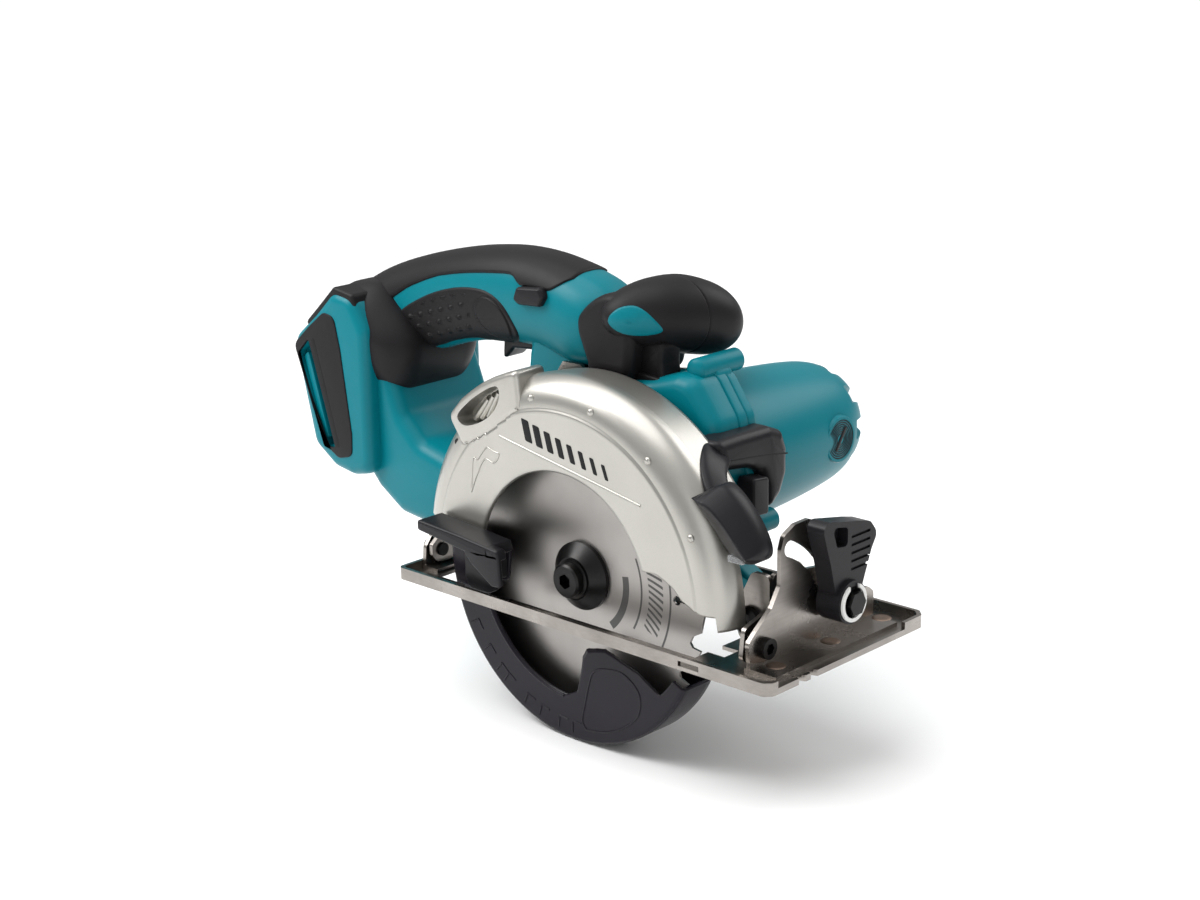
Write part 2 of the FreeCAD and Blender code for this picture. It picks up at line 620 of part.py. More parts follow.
def bevelLever():
    """The clamp lever at the front: round hub, ribbed thumb plate on a waisted arm."""
    y, z = bevelPoint(slotR, clampAngle)
    hub = rod(9.0, (102.5, y, z), (114, y, z))
    armEdge = [(y - 8, z + 3), (y + 8, z + 2), (y + 15, 40), (y + 19, 46), (y + 14, 52), (y + 6, 54),
               (y - 14, 58), (y - 17, 55), (y - 12, 40)]
    arm = slab(armEdge, 103.5, 112, "yz", 4)
    scoop = slab([(y - 8, 46), (y - 1, 45), (y - 1, 53), (y - 11, 55)], 107, 120, "yz", 2)
    body = fuse([hub, arm]).cut(scoop)
    for i in range(5):
        groove = block((111, 113), (y + 1.5, y + 14), (34 + 3.4 * i, 35.2 + 3.4 * i))
        body = body.cut(groove)
    body = body.cut(rod(clampScrewR + runFit, (100, y, z), (116, y, z)))
    return body.cut(rod(6.6, (111.5, y, z), (116, y, z)))


def depthLever():
    """The depth clamp lever behind the guard, on its bolt through the slotted arc."""
    hub = disc(7.5, (24.6, 30.8), (depthBoltX, depthBoltZ))
    arm = slab([(-56, 42), (-48, 47), (-62, 68), (-69, 73), (-74, 69), (-72, 62)], 25.6, 30.4, radius=4)
    return fuse([hub, arm]).cut(disc(clampScrewR + runFit, (20, 36), (depthBoltX, depthBoltZ)))


def baseParts():
    save("base_plate", basePlate())
    save("bevel_sector", bevelSector())
    save("rear_bracket", rearBracket())
    save("bevel_pivot_screws", Part.makeCompound([pivotScrew(103, 92, -3), pivotScrew(-95, -86, 3)]))
    save("tilt_bracket", tiltBracket())
    save("depth_arc", depthArc())
    pin = disc(depthPinR, (6.2, 31), (depthX, depthZ))
    head = spun([(0, 3.2), (4.4, 3.2), (6.2, 4.6), (6.2, 7.2), (0, 7.2)], (depthX, depthZ))
    socket = slab([polar(2.2, 60 * i, (depthX, depthZ)) for i in range(6)], 2, 5.6)
    nut = slab([polar(6.0, 60 * i, (depthX, depthZ)) for i in range(6)], 29.2, 33)
    save("depth_pivot_pin", fuse([pin, head, nut]).cut(socket))
    y, z = bevelPoint(slotR, clampAngle)
    save("bevel_lever", bevelLever())
    bolt = rod(clampScrewR, (93, y, z), (117, y, z)).fuse(rod(6.0, (89.6, y, z), (93, y, z)))
    hexHead = slab([polar(5.2, 60 * i, (y, z)) for i in range(6)], 113, 117, "yz")
    save("bevel_clamp_screw", fuse([bolt, hexHead]))
    clip = rod(8.0, (114.2, y, z), (115.2, y, z)).cut(rod(6.4, (113, y, z), (117, y, z)))
    opening = block((113, 117), (y - 3, y + 3), (z + 3, z + 12))
    save("lever_retaining_ring", clip.cut(opening))
    save("depth_lever", depthLever())
    shank = disc(clampScrewR, (16, 33.6), (depthBoltX, depthBoltZ))
    boltHead = slab([polar(5.5, 60 * i, (depthBoltX, depthBoltZ)) for i in range(6)], 16, 19)
    capNut = slab([polar(5.0, 60 * i, (depthBoltX, depthBoltZ)) for i in range(6)], 31.2, 33.6)
    save("depth_clamp_bolt", fuse([shank, boltHead, capNut]))


# handle and battery mount

def handleLoft(shrink):
    """The grip's body: ovals carried along its arched centre line, all drawn in by shrink."""
    stations = [(-158, 98, 25, 22, 42), (-143, 106, 20, 22, 30), (-125, 112.5, 17.5, 21.5, 19),
                (-105, 118, 17, 21, 13), (-85, 121.5, 17, 21, 7), (-65, 123, 17, 21, 0),
                (-45, 121.5, 17.5, 20.5, -9), (-24, 116, 18, 20, -20), (-6, 108, 17, 17, -30)]
    rings = []
    for x, z, wide, tall, tilt in stations:
        rings.append(oval((x, handleY, z), wide - shrink, tall - shrink, tilt))
    return Part.makeLoft(rings, True, False)


def mountOutline():
    """The battery mount from the side: slanted back face, top shoulder and rounded lower corner."""
    return [(-191, 92.5), (-173, 107), (-160, 119), (-147, 117), (-140, 100), (-140, 34), (-152.5, 32),
            (-165, 34), (-179, 42)]


def armOutline():
    """The lower arm from the side, from the battery mount forwards to the gear case."""
    return [(-150, 108), (-134, 98), (-127, 80), (-121, 60), (-110, 50), (-66, 50), (-66, 13), (-103, 13),
            (-128, 16), (-143, 26), (-150, 40)]


def bodyShape():
    mount = slab(mountOutline(), mountY[0], mountY[1], radius=7)
    arm = slab(armOutline(), 8, 68, radius=8)
    frontEdge = [(-68, 50), (-68, 13), (-40, 11), (-19, 24), (-25.2, 36), (-25.2, 98), (-12, 100), (4, 101),
                 (4, 116), (-30, 124), (-54, 118), (-54, 96), (-62, 60)]
    front = slab(frontEdge, 34, 64, radius=6)
    body = fuse([mount, arm, front, handleLoft(0.0)])
    body = body.cut(block((-92.5, -60), (0, 16.6), (0, 62)))
    body = body.cut(block((-96, -60), (0, 24.8), (0, 26)))
    body = body.cut(block((-48, -15), (0, 24.6), (80, 102)))
    case = slab(caseOutline(), gearCaseY[0] - 1, gearCoverY[1] + 0.2, radius=8)
    can = spun([(33.4, 48), (33.4, 70), (0, 70), (0, 48)], motorAt)
    return body.cut(case).cut(can)


def hollowShape():
    mountEdge = [(-183, 90), (-158, 112), (-147, 110), (-144, 96), (-144, 42), (-165, 40), (-174, 46)]
    armEdge = [(-150, 100), (-137, 92), (-130, 76), (-123, 52), (-112, 46), (-66, 46), (-64, 17), (-103, 17),
               (-127, 20), (-140, 30), (-150, 44)]
    return fuse([slab(mountEdge, 4, 72, radius=4), slab(armEdge, 12, 64, radius=4), handleLoft(4.0)])


def overmouldRegion():
    """Side outline of the soft cover over the grip's back, and the lobe below it at the rear."""
    return [(-176, 122), (-176, 113), (-171, 104), (-162, 91), (-155, 80), (-147, 74), (-134, 72), (-124, 75),
            (-112, 84), (-122, 92), (-138, 97), (-146, 108), (-128, 122), (-110, 129), (-92, 132.5),
            (-76, 134.5), (-60, 135.5),
            (-44, 134.5), (-36, 132), (-26, 150), (-90, 156), (-150, 140)]


def padOutline():
    return [(-141, 103), (-129, 114), (-114, 121), (-96, 126.5), (-78, 127), (-67, 122), (-60, 112), (-72, 103),
            (-92, 100), (-110, 95), (-124, 88), (-134, 92)]


def handleParts():
    whole = bodyShape()
    core = handleLoft(rubberThick)
    soft = handleLoft(0.0).cut(core)
    cover = soft.common(slab(overmouldRegion(), -5, 90, radius=4))
    cover = max(cover.Solids, key=lambda solid: solid.Volume)
    save("grip_cover", cover)
    padZone = slab(padOutline(), -5, 90, radius=6).cut(slab(overmouldRegion(), -6, 91, radius=4))
    pads = soft.common(padZone)
    near = pads.common(block((-200, 0), (0, handleY - 8), (60, 160)))
    far = pads.common(block((-200, 0), (handleY + 8, 90), (60, 160)))
    near = max(near.Solids, key=lambda solid: solid.Volume)
    far = max(far.Solids, key=lambda solid: solid.Volume)
    save("side_pad_near", near)
    save("side_pad_far", far)
    shell = whole.cut(cover).cut(near).cut(far).cut(hollowShape())
    shell = shell.cut(triggerBay()).cut(lockBay())
    for side in (mountY[0], mountY[1]):
        rail = slab([(-187, 86), (-178, 95), (-162, 43), (-171, 41)], side - 4.5, side + 4.5, radius=2)
        shell = shell.cut(rail)
    shell = shell.cut(slab([(-200, 84), (-184, 84), (-172, 46), (-190, 46)], 14, 62))
    shell = shell.cut(terminalBlock()).cut(knobShape())
    nearHalf = shell.common(block((-220, 40), (-10, handleY), (-10, 170)))
    farHalf = shell.common(block((-220, 40), (handleY, 90), (-10, 170)))
    save("handle_shell_near", max(nearHalf.Solids, key=lambda solid: solid.Volume))
    save("handle_shell_far", max(farHalf.Solids, key=lambda solid: solid.Volume))


def triggerBay():
    return slab([(-84, 80), (-84, 106), (-72, 114), (-44, 112), (-44, 88), (-56, 80)], handleY - 7.5, handleY + 7.5)


def lockBay():
    return block((-58.5, -37.5), (handleY - 26, handleY + 26), (120.5, 133.2))


def controlParts():
    trigger = slab([(-79, 92), (-72, 99), (-60, 100), (-50, 97), (-46.5, 101), (-48, 108), (-60, 109), (-78, 104)],
                   handleY - 6.8, handleY + 6.8, radius=3)
    trigger = trigger.cut(disc(2.0 + runFit, (20, 60), (-51, 104)))
    save("trigger", trigger)
    save("trigger_pin", disc(2.0, (handleY - 7.5, handleY + 7.5), (-51, 104)))
    bar = block((-51, -45), (handleY - 16, handleY + 16), (125.5, 130.5))
    tabs = []
    for side in (-1, 1):
        low, high = sorted((handleY + side * 14.5, handleY + side * 20))
        tabEdge = [(-57, 126), (-54, 131), (-41, 132), (-39, 128), (-41, 124.6), (-55, 124.2)]
        tabs.append(slab(tabEdge, low, high, radius=1.6))
    save("lock_off_lever", fuse([bar] + tabs))
    case = block((-104, -80), (handleY - 9.4, handleY + 9.4), (108, 124.5))
    plunger = block((-80, -77.5), (handleY - 3, handleY + 3), (113, 118))
    save("switch_body", fuse([case, plunger]))


def terminalBlock():
    return slab([(-184.5, 82), (-178, 88), (-169, 48), (-174.5, 46)], 16, 60, radius=2)


def mountParts():
    plate = terminalBlock()
    save("battery_terminal_block", plate)
    halfThick = 0.5
    blades = []
    for y in (26, 50):
        blades.append(slab([(-190, 74), (-182, 74), (-176, 54), (-184, 54)], y - halfThick, y + halfThick).cut(plate))
    save("battery_contacts", Part.makeCompound([max(b.Solids, key=lambda s: s.Volume) for b in blades]))


# front grip, cover and lamp

def knobShape():
    stations = [(16, 2, 124.5, 7.5, 6.5), (20, 3.5, 124.5, 12.5, 10.5), (28, 6.5, 124, 16.5, 13.5),
                (38, 9, 123, 18.6, 15.8), (48, 11.5, 121.5, 19, 17), (58, 14, 118.8, 18.5, 16.3),
                (64, 15.8, 117.6, 16.3, 14.6), (69, 17.3, 116.8, 12.3, 11.4), (72, 18, 116.3, 7.5, 7.2)]
    rings = []
    for y, x, z, wide, tall in stations:
        points = []
        for i in range(16):
            a = 2 * math.pi * i / 16
            points.append(V(x + wide * math.cos(a), y, z + tall * math.sin(a)))
        curve = Part.BSplineCurve()
        curve.interpolate(points, PeriodicFlag=True)
        rings.append(Part.Wire([curve.toShape()]))
    knob = Part.makeLoft(rings, True, False)
    neck = slab([(2, 97), (22, 97), (21, 116), (4, 116)], 27, 40, radius=2)
    case = slab(caseOutline(), gearCaseY[0] - 1, gearCoverY[1] + 0.2, radius=8)
    return fuse([knob, neck.cut(case).cut(bodyFrontBlock())])


def bodyFrontBlock():
    return slab([(-60, 80), (4.2, 80), (4.2, 116.2), (-30, 124), (-60, 124)], 33.8, 64.2)


def knobParts():
    body = knobShape()
    insertEdge = [(1.5, 124), (6, 129.8), (12.5, 132.4), (19, 129), (23.4, 122.5), (21, 119.4), (10, 119.2), (4, 120.5)]
    insertZone = slab(insertEdge, 5, 29, radius=2.4)
    inside = body.cut(insertZone)
    insert = body.common(insertZone)
    insert = max(insert.Solids, key=lambda solid: solid.Volume)
    save("grip_insert", insert)
    nearPart = inside.common(block((-60, 80), (-10, 46), (80, 160)))
    farPart = inside.common(block((-60, 80), (46, 100), (80, 160)))
    save("front_grip_near_part", max(nearPart.Solids, key=lambda solid: solid.Volume))
    save("front_grip_far_part", max(farPart.Solids, key=lambda solid: solid.Volume))


def frontCover():
    """The dark cover on the front of the gear case, with a window round the spindle lock's button."""
    edge = [(21, 85), (52, 84), (58, 79), (59, 62), (52, 47), (44, 47), (44, 66), (26, 70), (21, 70)]
    face = slab(edge, 46, 66, "yz", 5)
    hub = slab(caseOutline(), gearCaseY[0] - 1, gearCoverY[1] + 0.2, radius=8)
    can = spun([(33.4, 48), (33.4, 80), (0, 80), (0, 48)], motorAt)
    return face.cut(hub).cut(can)


def lampHousing():
    """The beak-shaped lamp housing on the guard's front shoulder, with an arm back to the front cover."""
    beakEdge = [(71, 68), (74, 72), (78, 75.5), (84, 73.5), (96, 62), (103, 50), (99.5, 46), (90.5, 45),
                (85, 49), (79, 60)]
    beak = slab(beakEdge, -15, -1, radius=2.5)
    arm = slab([(66, 84), (78, 76), (92, 52), (86, 50), (72, 66), (62, 76)], -1.5, 4.5, radius=3)
    lens = block((84, 96), (-11, -5), (43, 48))
    body = fuse([beak, arm]).cut(lens)
    guard = spun([(60, -20), (88.4, -20), (88.4, 22), (60, 22)], spindleAt)
    return body.cut(guard)


def frontParts():
    save("front_cover", max(frontCover().Solids, key=lambda solid: solid.Volume))
    save("lamp_housing", max(lampHousing().Solids, key=lambda solid: solid.Volume))
    save("lamp_lens", block((88.5, 95.8), (-10.8, -5.2), (45.6, 47.9)))
    save("shaft_lock_button", slab([(31, 49), (41, 48), (41, 64), (31, 65)], 58.5, 67.5, "yz", 1.5))


def screwHead(face, outwards, at):
    """A pan-head screw's head on a face at the given y, standing off in the outwards direction."""
    x, z = at
    top = face + 1.8 * outwards
    head = rod(3.6, (x, face, z), (x, top, z))
    depth = sorted((top + 0.1 * outwards, top - outwards))
    cross = block((x - 2.2, x + 2.2), depth, (z - 0.5, z + 0.5))
    cross = cross.fuse(block((x - 0.5, x + 0.5), depth, (z - 2.2, z + 2.2)))
    return head.cut(cross)


def screwParts():
    housing = [((-150, 46), mountY[1]), ((-150, 98), mountY[1]), ((-100, 24), 68.0), ((-40, 62), 64.0)]
    screws = [screwHead(face, 1, at) for at, face in housing]
    screws += [screwHead(guardBackY[0], -1, polar(23.0, angle)) for angle in (20, 90, 160)]
    save("housing_screws", Part.makeCompound(screws))


os.makedirs("parts", exist_ok=True)
bladeParts()
gearParts()
motorParts()
caseParts()
guardParts()
baseParts()
handleParts()
controlParts()
mountParts()
knobParts()
frontParts()
screwParts()
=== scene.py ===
import math

import bmesh
import bpy
import numpy as np
from mathutils import Matrix, Vector


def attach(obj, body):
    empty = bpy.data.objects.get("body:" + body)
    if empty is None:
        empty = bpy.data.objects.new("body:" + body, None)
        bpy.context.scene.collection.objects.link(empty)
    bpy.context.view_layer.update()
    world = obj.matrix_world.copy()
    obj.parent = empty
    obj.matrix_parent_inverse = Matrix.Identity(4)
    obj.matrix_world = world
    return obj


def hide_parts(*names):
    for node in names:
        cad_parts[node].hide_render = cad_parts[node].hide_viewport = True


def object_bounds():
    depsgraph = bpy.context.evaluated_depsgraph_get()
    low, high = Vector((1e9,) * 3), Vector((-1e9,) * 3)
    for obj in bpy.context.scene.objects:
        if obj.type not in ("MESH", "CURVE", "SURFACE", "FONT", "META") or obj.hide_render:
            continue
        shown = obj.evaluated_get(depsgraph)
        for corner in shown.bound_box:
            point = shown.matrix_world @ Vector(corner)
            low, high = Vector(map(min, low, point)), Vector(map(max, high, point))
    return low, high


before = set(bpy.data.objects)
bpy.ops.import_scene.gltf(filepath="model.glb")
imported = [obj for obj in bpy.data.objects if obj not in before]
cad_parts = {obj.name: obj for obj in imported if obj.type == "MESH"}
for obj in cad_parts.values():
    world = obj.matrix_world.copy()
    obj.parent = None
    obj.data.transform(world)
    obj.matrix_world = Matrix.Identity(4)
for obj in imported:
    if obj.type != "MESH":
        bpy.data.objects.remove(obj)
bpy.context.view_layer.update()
mm = 0.001
print("frame loaded:", len(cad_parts), "nodes")

# camera and light

view = {
    "azimuth": 43.58,      # degrees round from looking along +Y
    "elevation": 16.10,
    "roll": -1.09,
    "distance": 905.4,     # mm from the base's origin, along the line of sight
    "right": 6.41,         # mm that the camera is shifted along its own axes
    "up": 69.27,
    "lens": 63.58,
}
light = {
    "zenith": 0.80, "horizon": 0.22,                 # world brightness overhead and level with the object
    "sun": (1.85, 60.0, (-0.22, -0.20, 0.95)),       # strength, angle in degrees, where it comes from
    "key": (4.5, 0.40, (-520.0, -420.0, 620.0)),     # watts, size in metres, place in mm
    "fill": (1.2, 0.7, (750.0, -700.0, 260.0)),
    "rim": (2.5, 0.5, (250.0, 700.0, 620.0)),
    "target": (-40.0, 20.0, 60.0),                   # place in mm that the three lamps point at
    "floor": (0.95, 0.95, 0.95, 1.0), "floorSize": 14.0,
}


def placeCamera():
    a = math.radians(view["azimuth"])
    e = math.radians(view["elevation"])
    r = math.radians(view["roll"])
    right = Vector((math.cos(a), math.sin(a), 0))
    back = Vector((math.sin(a) * math.cos(e), -math.cos(a) * math.cos(e), math.sin(e)))
    up = back.cross(right)
    side = right * math.cos(r) + up * math.sin(r)
    top = up * math.cos(r) - right * math.sin(r)
    place = (side * view["right"] + top * view["up"] + back * view["distance"]) * mm
    camera = bpy.data.objects.new("camera", bpy.data.cameras.new("camera"))
    camera.data.lens = view["lens"]
    camera.data.sensor_width = 36.0
    turn = Matrix((side, top, back)).transposed().to_4x4()
    camera.matrix_world = Matrix.Translation(place) @ turn
    bpy.context.scene.collection.objects.link(camera)
    bpy.context.scene.camera = camera


def placeLight(name):
    watts, size, place = light[name]
    lamp = bpy.data.lights.new(name, "AREA")
    lamp.energy = watts
    lamp.size = size
    holder = bpy.data.objects.new(name, lamp)
    holder.location = Vector(place) * mm
    aim = Vector(light["target"]) * mm - holder.location
    holder.rotation_euler = aim.to_track_quat("-Z", "Y").to_euler()
    bpy.context.scene.collection.objects.link(holder)


# shader maths: a wrapped socket, whose sums and products add Math nodes


class Value:
    def __init__(self, shader, socket):
        self.shader = shader
        self.socket = socket

    def maths(self, kind, first, second=0.0):
        return self.shader.node("ShaderNodeMath", {"operation": kind}, {0: first, 1: second})

    def __add__(self, other):
        return self.maths("ADD", self, other)

    def __radd__(self, other):
        return self.maths("ADD", other, self)

    def __sub__(self, other):
        return self.maths("SUBTRACT", self, other)

    def __rsub__(self, other):
        return self.maths("SUBTRACT", other, self)

    def __mul__(self, other):
        return self.maths("MULTIPLY", self, other)

    def __rmul__(self, other):
        return self.maths("MULTIPLY", other, self)

    def __pow__(self, other):
        return self.maths("POWER", self, other)

    def above(self, edge):
        return self.maths("GREATER_THAN", self, edge)

    def below(self, edge):
        return self.maths("LESS_THAN", self, edge)

    def within(self, low, high):
        return self.above(low) * self.below(high)


class Shader:
    def __init__(self, name):
        self.material = bpy.data.materials.new(name)
        self.material.use_nodes = True
        self.tree = self.material.node_tree
        self.surface = self.tree.nodes["Principled BSDF"]
        self.place = self.node("ShaderNodeTexCoord", {}, {}, "Object")

    def node(self, kind, settings, sockets, output=0):
        made = self.tree.nodes.new(kind)
        for key, value in settings.items():
            if key == "stops":
                ramp = made.color_ramp.elements
                while len(ramp) < len(value):
                    ramp.new(0.5)
                for stop, (position, colour) in zip(ramp, value):
                    stop.position = position
                    stop.color = colour
            else:
                setattr(made, key, value)
        for key, value in sockets.items():
            self.feed(made.inputs[key], value)
        return Value(self, made.outputs[output])

    def feed(self, socket, value):
        if isinstance(value, Value):
            self.tree.links.new(value.socket, socket)
        else:
            socket.default_value = value

    def noise(self, size, detail=2.0, stretch=(1.0, 1.0, 1.0)):
        # noise whose lumps are about size millimetres across, drawn out by stretch
        place = self.node("ShaderNodeMapping", {}, {"Vector": self.place, "Scale": stretch})
        sockets = {"Vector": place, "Scale": 1000.0 / size, "Detail": detail}
        return self.node("ShaderNodeTexNoise", {"noise_dimensions": "3D"}, sockets)

    def speckle(self, size):
        sockets = {"Vector": self.place, "Scale": 1000.0 / size}
        return self.node("ShaderNodeTexVoronoi", {"feature": "F1"}, sockets)

    def blend(self, amount, first, second):
        settings = {"data_type": "RGBA", "blend_type": "MIX"}
        return self.node("ShaderNodeMix", settings, {0: amount, 6: first, 7: second}, 2)

    def bump(self, height, depth):
        # height is 0 to 1 and depth is in millimetres
        self.feed(self.surface.inputs["Normal"],
            self.node("ShaderNodeBump", {}, {"Strength": 1.0, "Distance": depth * mm, "Height": height}))

    def give(self, **values):
        names = {"colour": "Base Color", "rough": "Roughness", "metal": "Metallic", "coat": "Coat Weight",
            "gloss": "Specular IOR Level", "through": "Transmission Weight", "ior": "IOR",
            "coatRough": "Coat Roughness"}
        for key, value in values.items():
            self.feed(self.surface.inputs[names[key]], value)
        return self.material


def tint(colour, factor):
    return tuple(min(1.0, c * factor) for c in colour[:3]) + (1.0,)


plastics = {
    # colour, roughness, grain size in mm, grain depth in mm, mottle
    "tealPlastic": ((0.0, 0.165, 0.205, 1), 0.34, 0.7, 0.012, 0.07),
    "softGrip": ((0.0105, 0.0095, 0.0105, 1), 0.46, 0.55, 0.035, 0.18),
    "blackPlastic": ((0.012, 0.0115, 0.0135, 1), 0.34, 0.6, 0.016, 0.16),
    "guardPlastic": ((0.014, 0.012, 0.017, 1), 0.24, 0.9, 0.010, 0.16),
    "whitePlastic": ((0.78, 0.78, 0.76, 1), 0.42, 0.8, 0.010, 0.04),
    # near-black for printed bars and seam lines, and also painted shade in the motor vent slots, the
    # guard's small hole and the mount grooves
    "inkAndPaintedShade": ((0.008, 0.008, 0.009, 1), 0.50, 0.5, 0.004, 0.10),
}


def plastic(name):
    colour, rough, grain, depth, mottle = plastics[name]
    shader = Shader(name)
    fine = shader.noise(grain, 3.0)
    broad = shader.noise(38.0, 3.0)
    scuff = shader.noise(5.0, 4.0, (1.0, 0.25, 0.6))
    hue = shader.blend(broad * 0.6 + fine * 0.4, tint(colour, 1 - mottle), tint(colour, 1 + mottle))
    shader.bump(fine * 0.8 + scuff * 0.2, depth)
    return shader.give(colour=hue, rough=rough - 0.07 + broad * 0.09 + scuff * 0.06, gloss=0.17)


metals = {
    # dark colour, light colour, low and high roughness, streak length in mm along x, y, z, depth
    "platedSteel": ((0.13, 0.115, 0.105, 1), (0.46, 0.43, 0.40, 1), 0.18, 0.40, (0.35, 0.08, 1.0), 0.012),
    "castMetal": ((0.36, 0.36, 0.36, 1), (0.52, 0.52, 0.51, 1), 0.38, 0.58, (1.0, 1.0, 1.0), 0.05),
    "machinedSteel": ((0.42, 0.42, 0.43, 1), (0.60, 0.60, 0.60, 1), 0.20, 0.36, (1.0, 0.1, 1.0), 0.006),
    "darkSteel": ((0.012, 0.012, 0.013, 1), (0.035, 0.034, 0.033, 1), 0.26, 0.46, (1.0, 1.0, 1.0), 0.012),
    "copper": ((0.42, 0.19, 0.09, 1), (0.66, 0.34, 0.19, 1), 0.24, 0.42, (1.0, 0.2, 1.0), 0.006),
    "weldBrown": ((0.09, 0.055, 0.04, 1), (0.34, 0.26, 0.21, 1), 0.34, 0.55, (1.0, 1.0, 1.0), 0.05),
}


def metal(name):
    dark, pale, low, high, streak, depth = metals[name]
    shader = Shader(name)
    fine = shader.noise(1.1, 4.0, streak)
    cloud = shader.noise(22.0, 5.0)
    spots = shader.noise(3.0, 3.0)
    worn = (spots - 0.62) * 4.0
    worn = worn.maths("MAXIMUM", worn, 0.0)
    hue = shader.blend(cloud * 0.75 + fine * 0.25, pale, dark)
    shader.bump(fine * 0.7 + cloud * 0.3, depth)
    rough = low + (high - low) * cloud + worn * 0.12
    return shader.give(colour=hue, metal=1.0 - worn * 0.1, rough=rough)


silver = {
    "pale": (0.46, 0.45, 0.415, 1), "dark": (0.37, 0.36, 0.33, 1), "rough": 0.32, "flake": 0.35,
}


def guardSilver():
    # satin lacquer over a casting: fine flakes, faint clouds and a thin clear coat
    shader = Shader("guardSilver")
    flake = shader.speckle(silver["flake"])
    cloud = shader.noise(30.0, 4.0)
    fine = shader.noise(0.9, 3.0)
    hue = shader.blend(flake * 0.35 + cloud * 0.55, silver["pale"], silver["dark"])
    shader.bump(fine, 0.012)
    return shader.give(colour=hue, metal=0.82, rough=silver["rough"] + cloud * 0.08 - fine * 0.05,
        coat=0.25, coatRough=0.22)


bladeLook = {
    "pale": (0.44, 0.42, 0.40, 1), "dark": (0.26, 0.245, 0.235, 1), "ink": (0.03, 0.03, 0.03, 1),
    "axis": 17.0,
    # printed shapes: inner and outer radius, then first and last angle in degrees
    "arc": (23.0, 26.5, -50.0, 11.0), "label": (31.0, 52.0, -31.0, 25.0),
    "blocks": (37.5, 45.5, -24.0, 18.0),
    "rings": ((33.0, 34.0), (49.0, 50.0)), "slant": 0.6, "pitch": 0.25, "share": 0.42,
}


def bladeSteel():
    # rings of fine scratches round the axle, with plain printed bands that hold no lettering
    shader = Shader("bladeSteel")
    axes = shader.node("ShaderNodeSeparateXYZ", {}, {"Vector": shader.place}, "X")
    x = axes * 1000.0
    z = Value(shader, axes.socket.node.outputs["Z"]) * 1000.0 - bladeLook["axis"]
    y = Value(shader, axes.socket.node.outputs["Y"]) * 1000.0
    radius = (x * x + z * z) ** 0.5
    angle = x.maths("ARCTAN2", z, x) * (180 / math.pi)
    scratch = shader.node("ShaderNodeTexNoise", {"noise_dimensions": "1D"},
        {"W": radius * 3.0 + angle * 0.004, "Detail": 4.0, "Roughness": 0.7})
    smudge = shader.noise(16.0, 4.0)
    hue = shader.blend(scratch * 0.6 + smudge * 0.4, bladeLook["pale"], bladeLook["dark"])

    def patch(name):
        inner, outer, first, last = bladeLook[name]
        return radius.within(inner, outer) * angle.within(first, last)
    rings = radius.within(*bladeLook["rings"][0]) + radius.within(*bladeLook["rings"][1])
    phase = (angle + radius * bladeLook["slant"]) * bladeLook["pitch"]
    stripes = phase.maths("FRACT", phase).below(bladeLook["share"])
    printed = y.below(-0.5) * (patch("arc") + patch("label") * (rings + patch("blocks") * stripes))
    printed = printed.maths("MINIMUM", printed, 1.0)
    hue = shader.blend(printed * 0.9, hue, bladeLook["ink"])
    shader.bump(scratch, 0.006)
    return shader.give(colour=hue, metal=1.0 - printed * 0.7, rough=0.27 + scratch * 0.12 + smudge * 0.1)


def clearLens():
    shader = Shader("clearLens")
    haze = shader.noise(4.0, 3.0)
    shader.bump(shader.noise(1.5, 1.0), 0.02)
    return shader.give(colour=(0.94, 0.96, 0.97, 1), rough=0.08 + haze * 0.08, through=0.85, ior=1.49)


def floorPaint():
    shader = Shader("floorPaint")
    fine = shader.noise(8.0, 2.0)
    shade = light["floor"]
    return shader.give(colour=shader.blend(fine, tint(shade, 0.995), tint(shade, 1.0)),
        rough=0.75 + fine * 0.05)


finishes = {}


def makeFinishes():
    for name in plastics:
        finishes[name] = plastic(name)
    for name in metals:
        finishes[name] = metal(name)
    finishes["guardSilver"] = guardSilver()
    finishes["bladeSteel"] = bladeSteel()
    finishes["clearLens"] = clearLens()


# surfaces: points are kept in millimetres until a mesh is made


def circle(count):
    return np.linspace(0, 2 * math.pi, count, endpoint=False)


def quarter(count):
    return np.linspace(0, math.pi / 2, count)


def unit(vectors):
    return vectors / np.linalg.norm(vectors, axis=1)[:, None]


def signedPower(value, power):
    return np.sign(value) * np.abs(value) ** power


def gridFaces(rows, columns, closeRows=False, closeColumns=False):
    i, j = np.meshgrid(np.arange(rows - (not closeRows)), np.arange(columns - (not closeColumns)),
        indexing="ij")
    k = (i + 1) % rows
    m = (j + 1) % columns
    corners = np.stack([i * columns + j, k * columns + j, k * columns + m, i * columns + m], -1)
    return corners.reshape(-1, 4).tolist()


def sheetOf(points, closeRows=False, closeColumns=False, ends=False):
    # a grid of points as (points, faces), its open row ends closed by a face each when ends is true
    rows, columns = points.shape[:2]
    faces = gridFaces(rows, columns, closeRows, closeColumns)
    if ends:
        faces.append(list(range(columns)))
        faces.append(list(range((rows - 1) * columns, rows * columns)))
    return points.reshape(-1, 3), faces


def resample(line, count):
    # the closed line again, as count points evenly spaced along it
    closed = np.vstack([line, line[:1]])
    run = np.concatenate([[0], np.cumsum(np.linalg.norm(np.diff(closed, axis=0), axis=1))])
    at = np.linspace(0, run[-1], count, endpoint=False)
    return np.stack([np.interp(at, run, closed[:, k]) for k in range(closed.shape[1])], -1)


def leftTurning(line):
    # the closed line, reversed if it runs clockwise
    following = np.roll(line, -1, 0)
    area = (line[:, 0] * following[:, 1] - following[:, 0] * line[:, 1]).sum()
    return line if area > 0 else line[::-1]


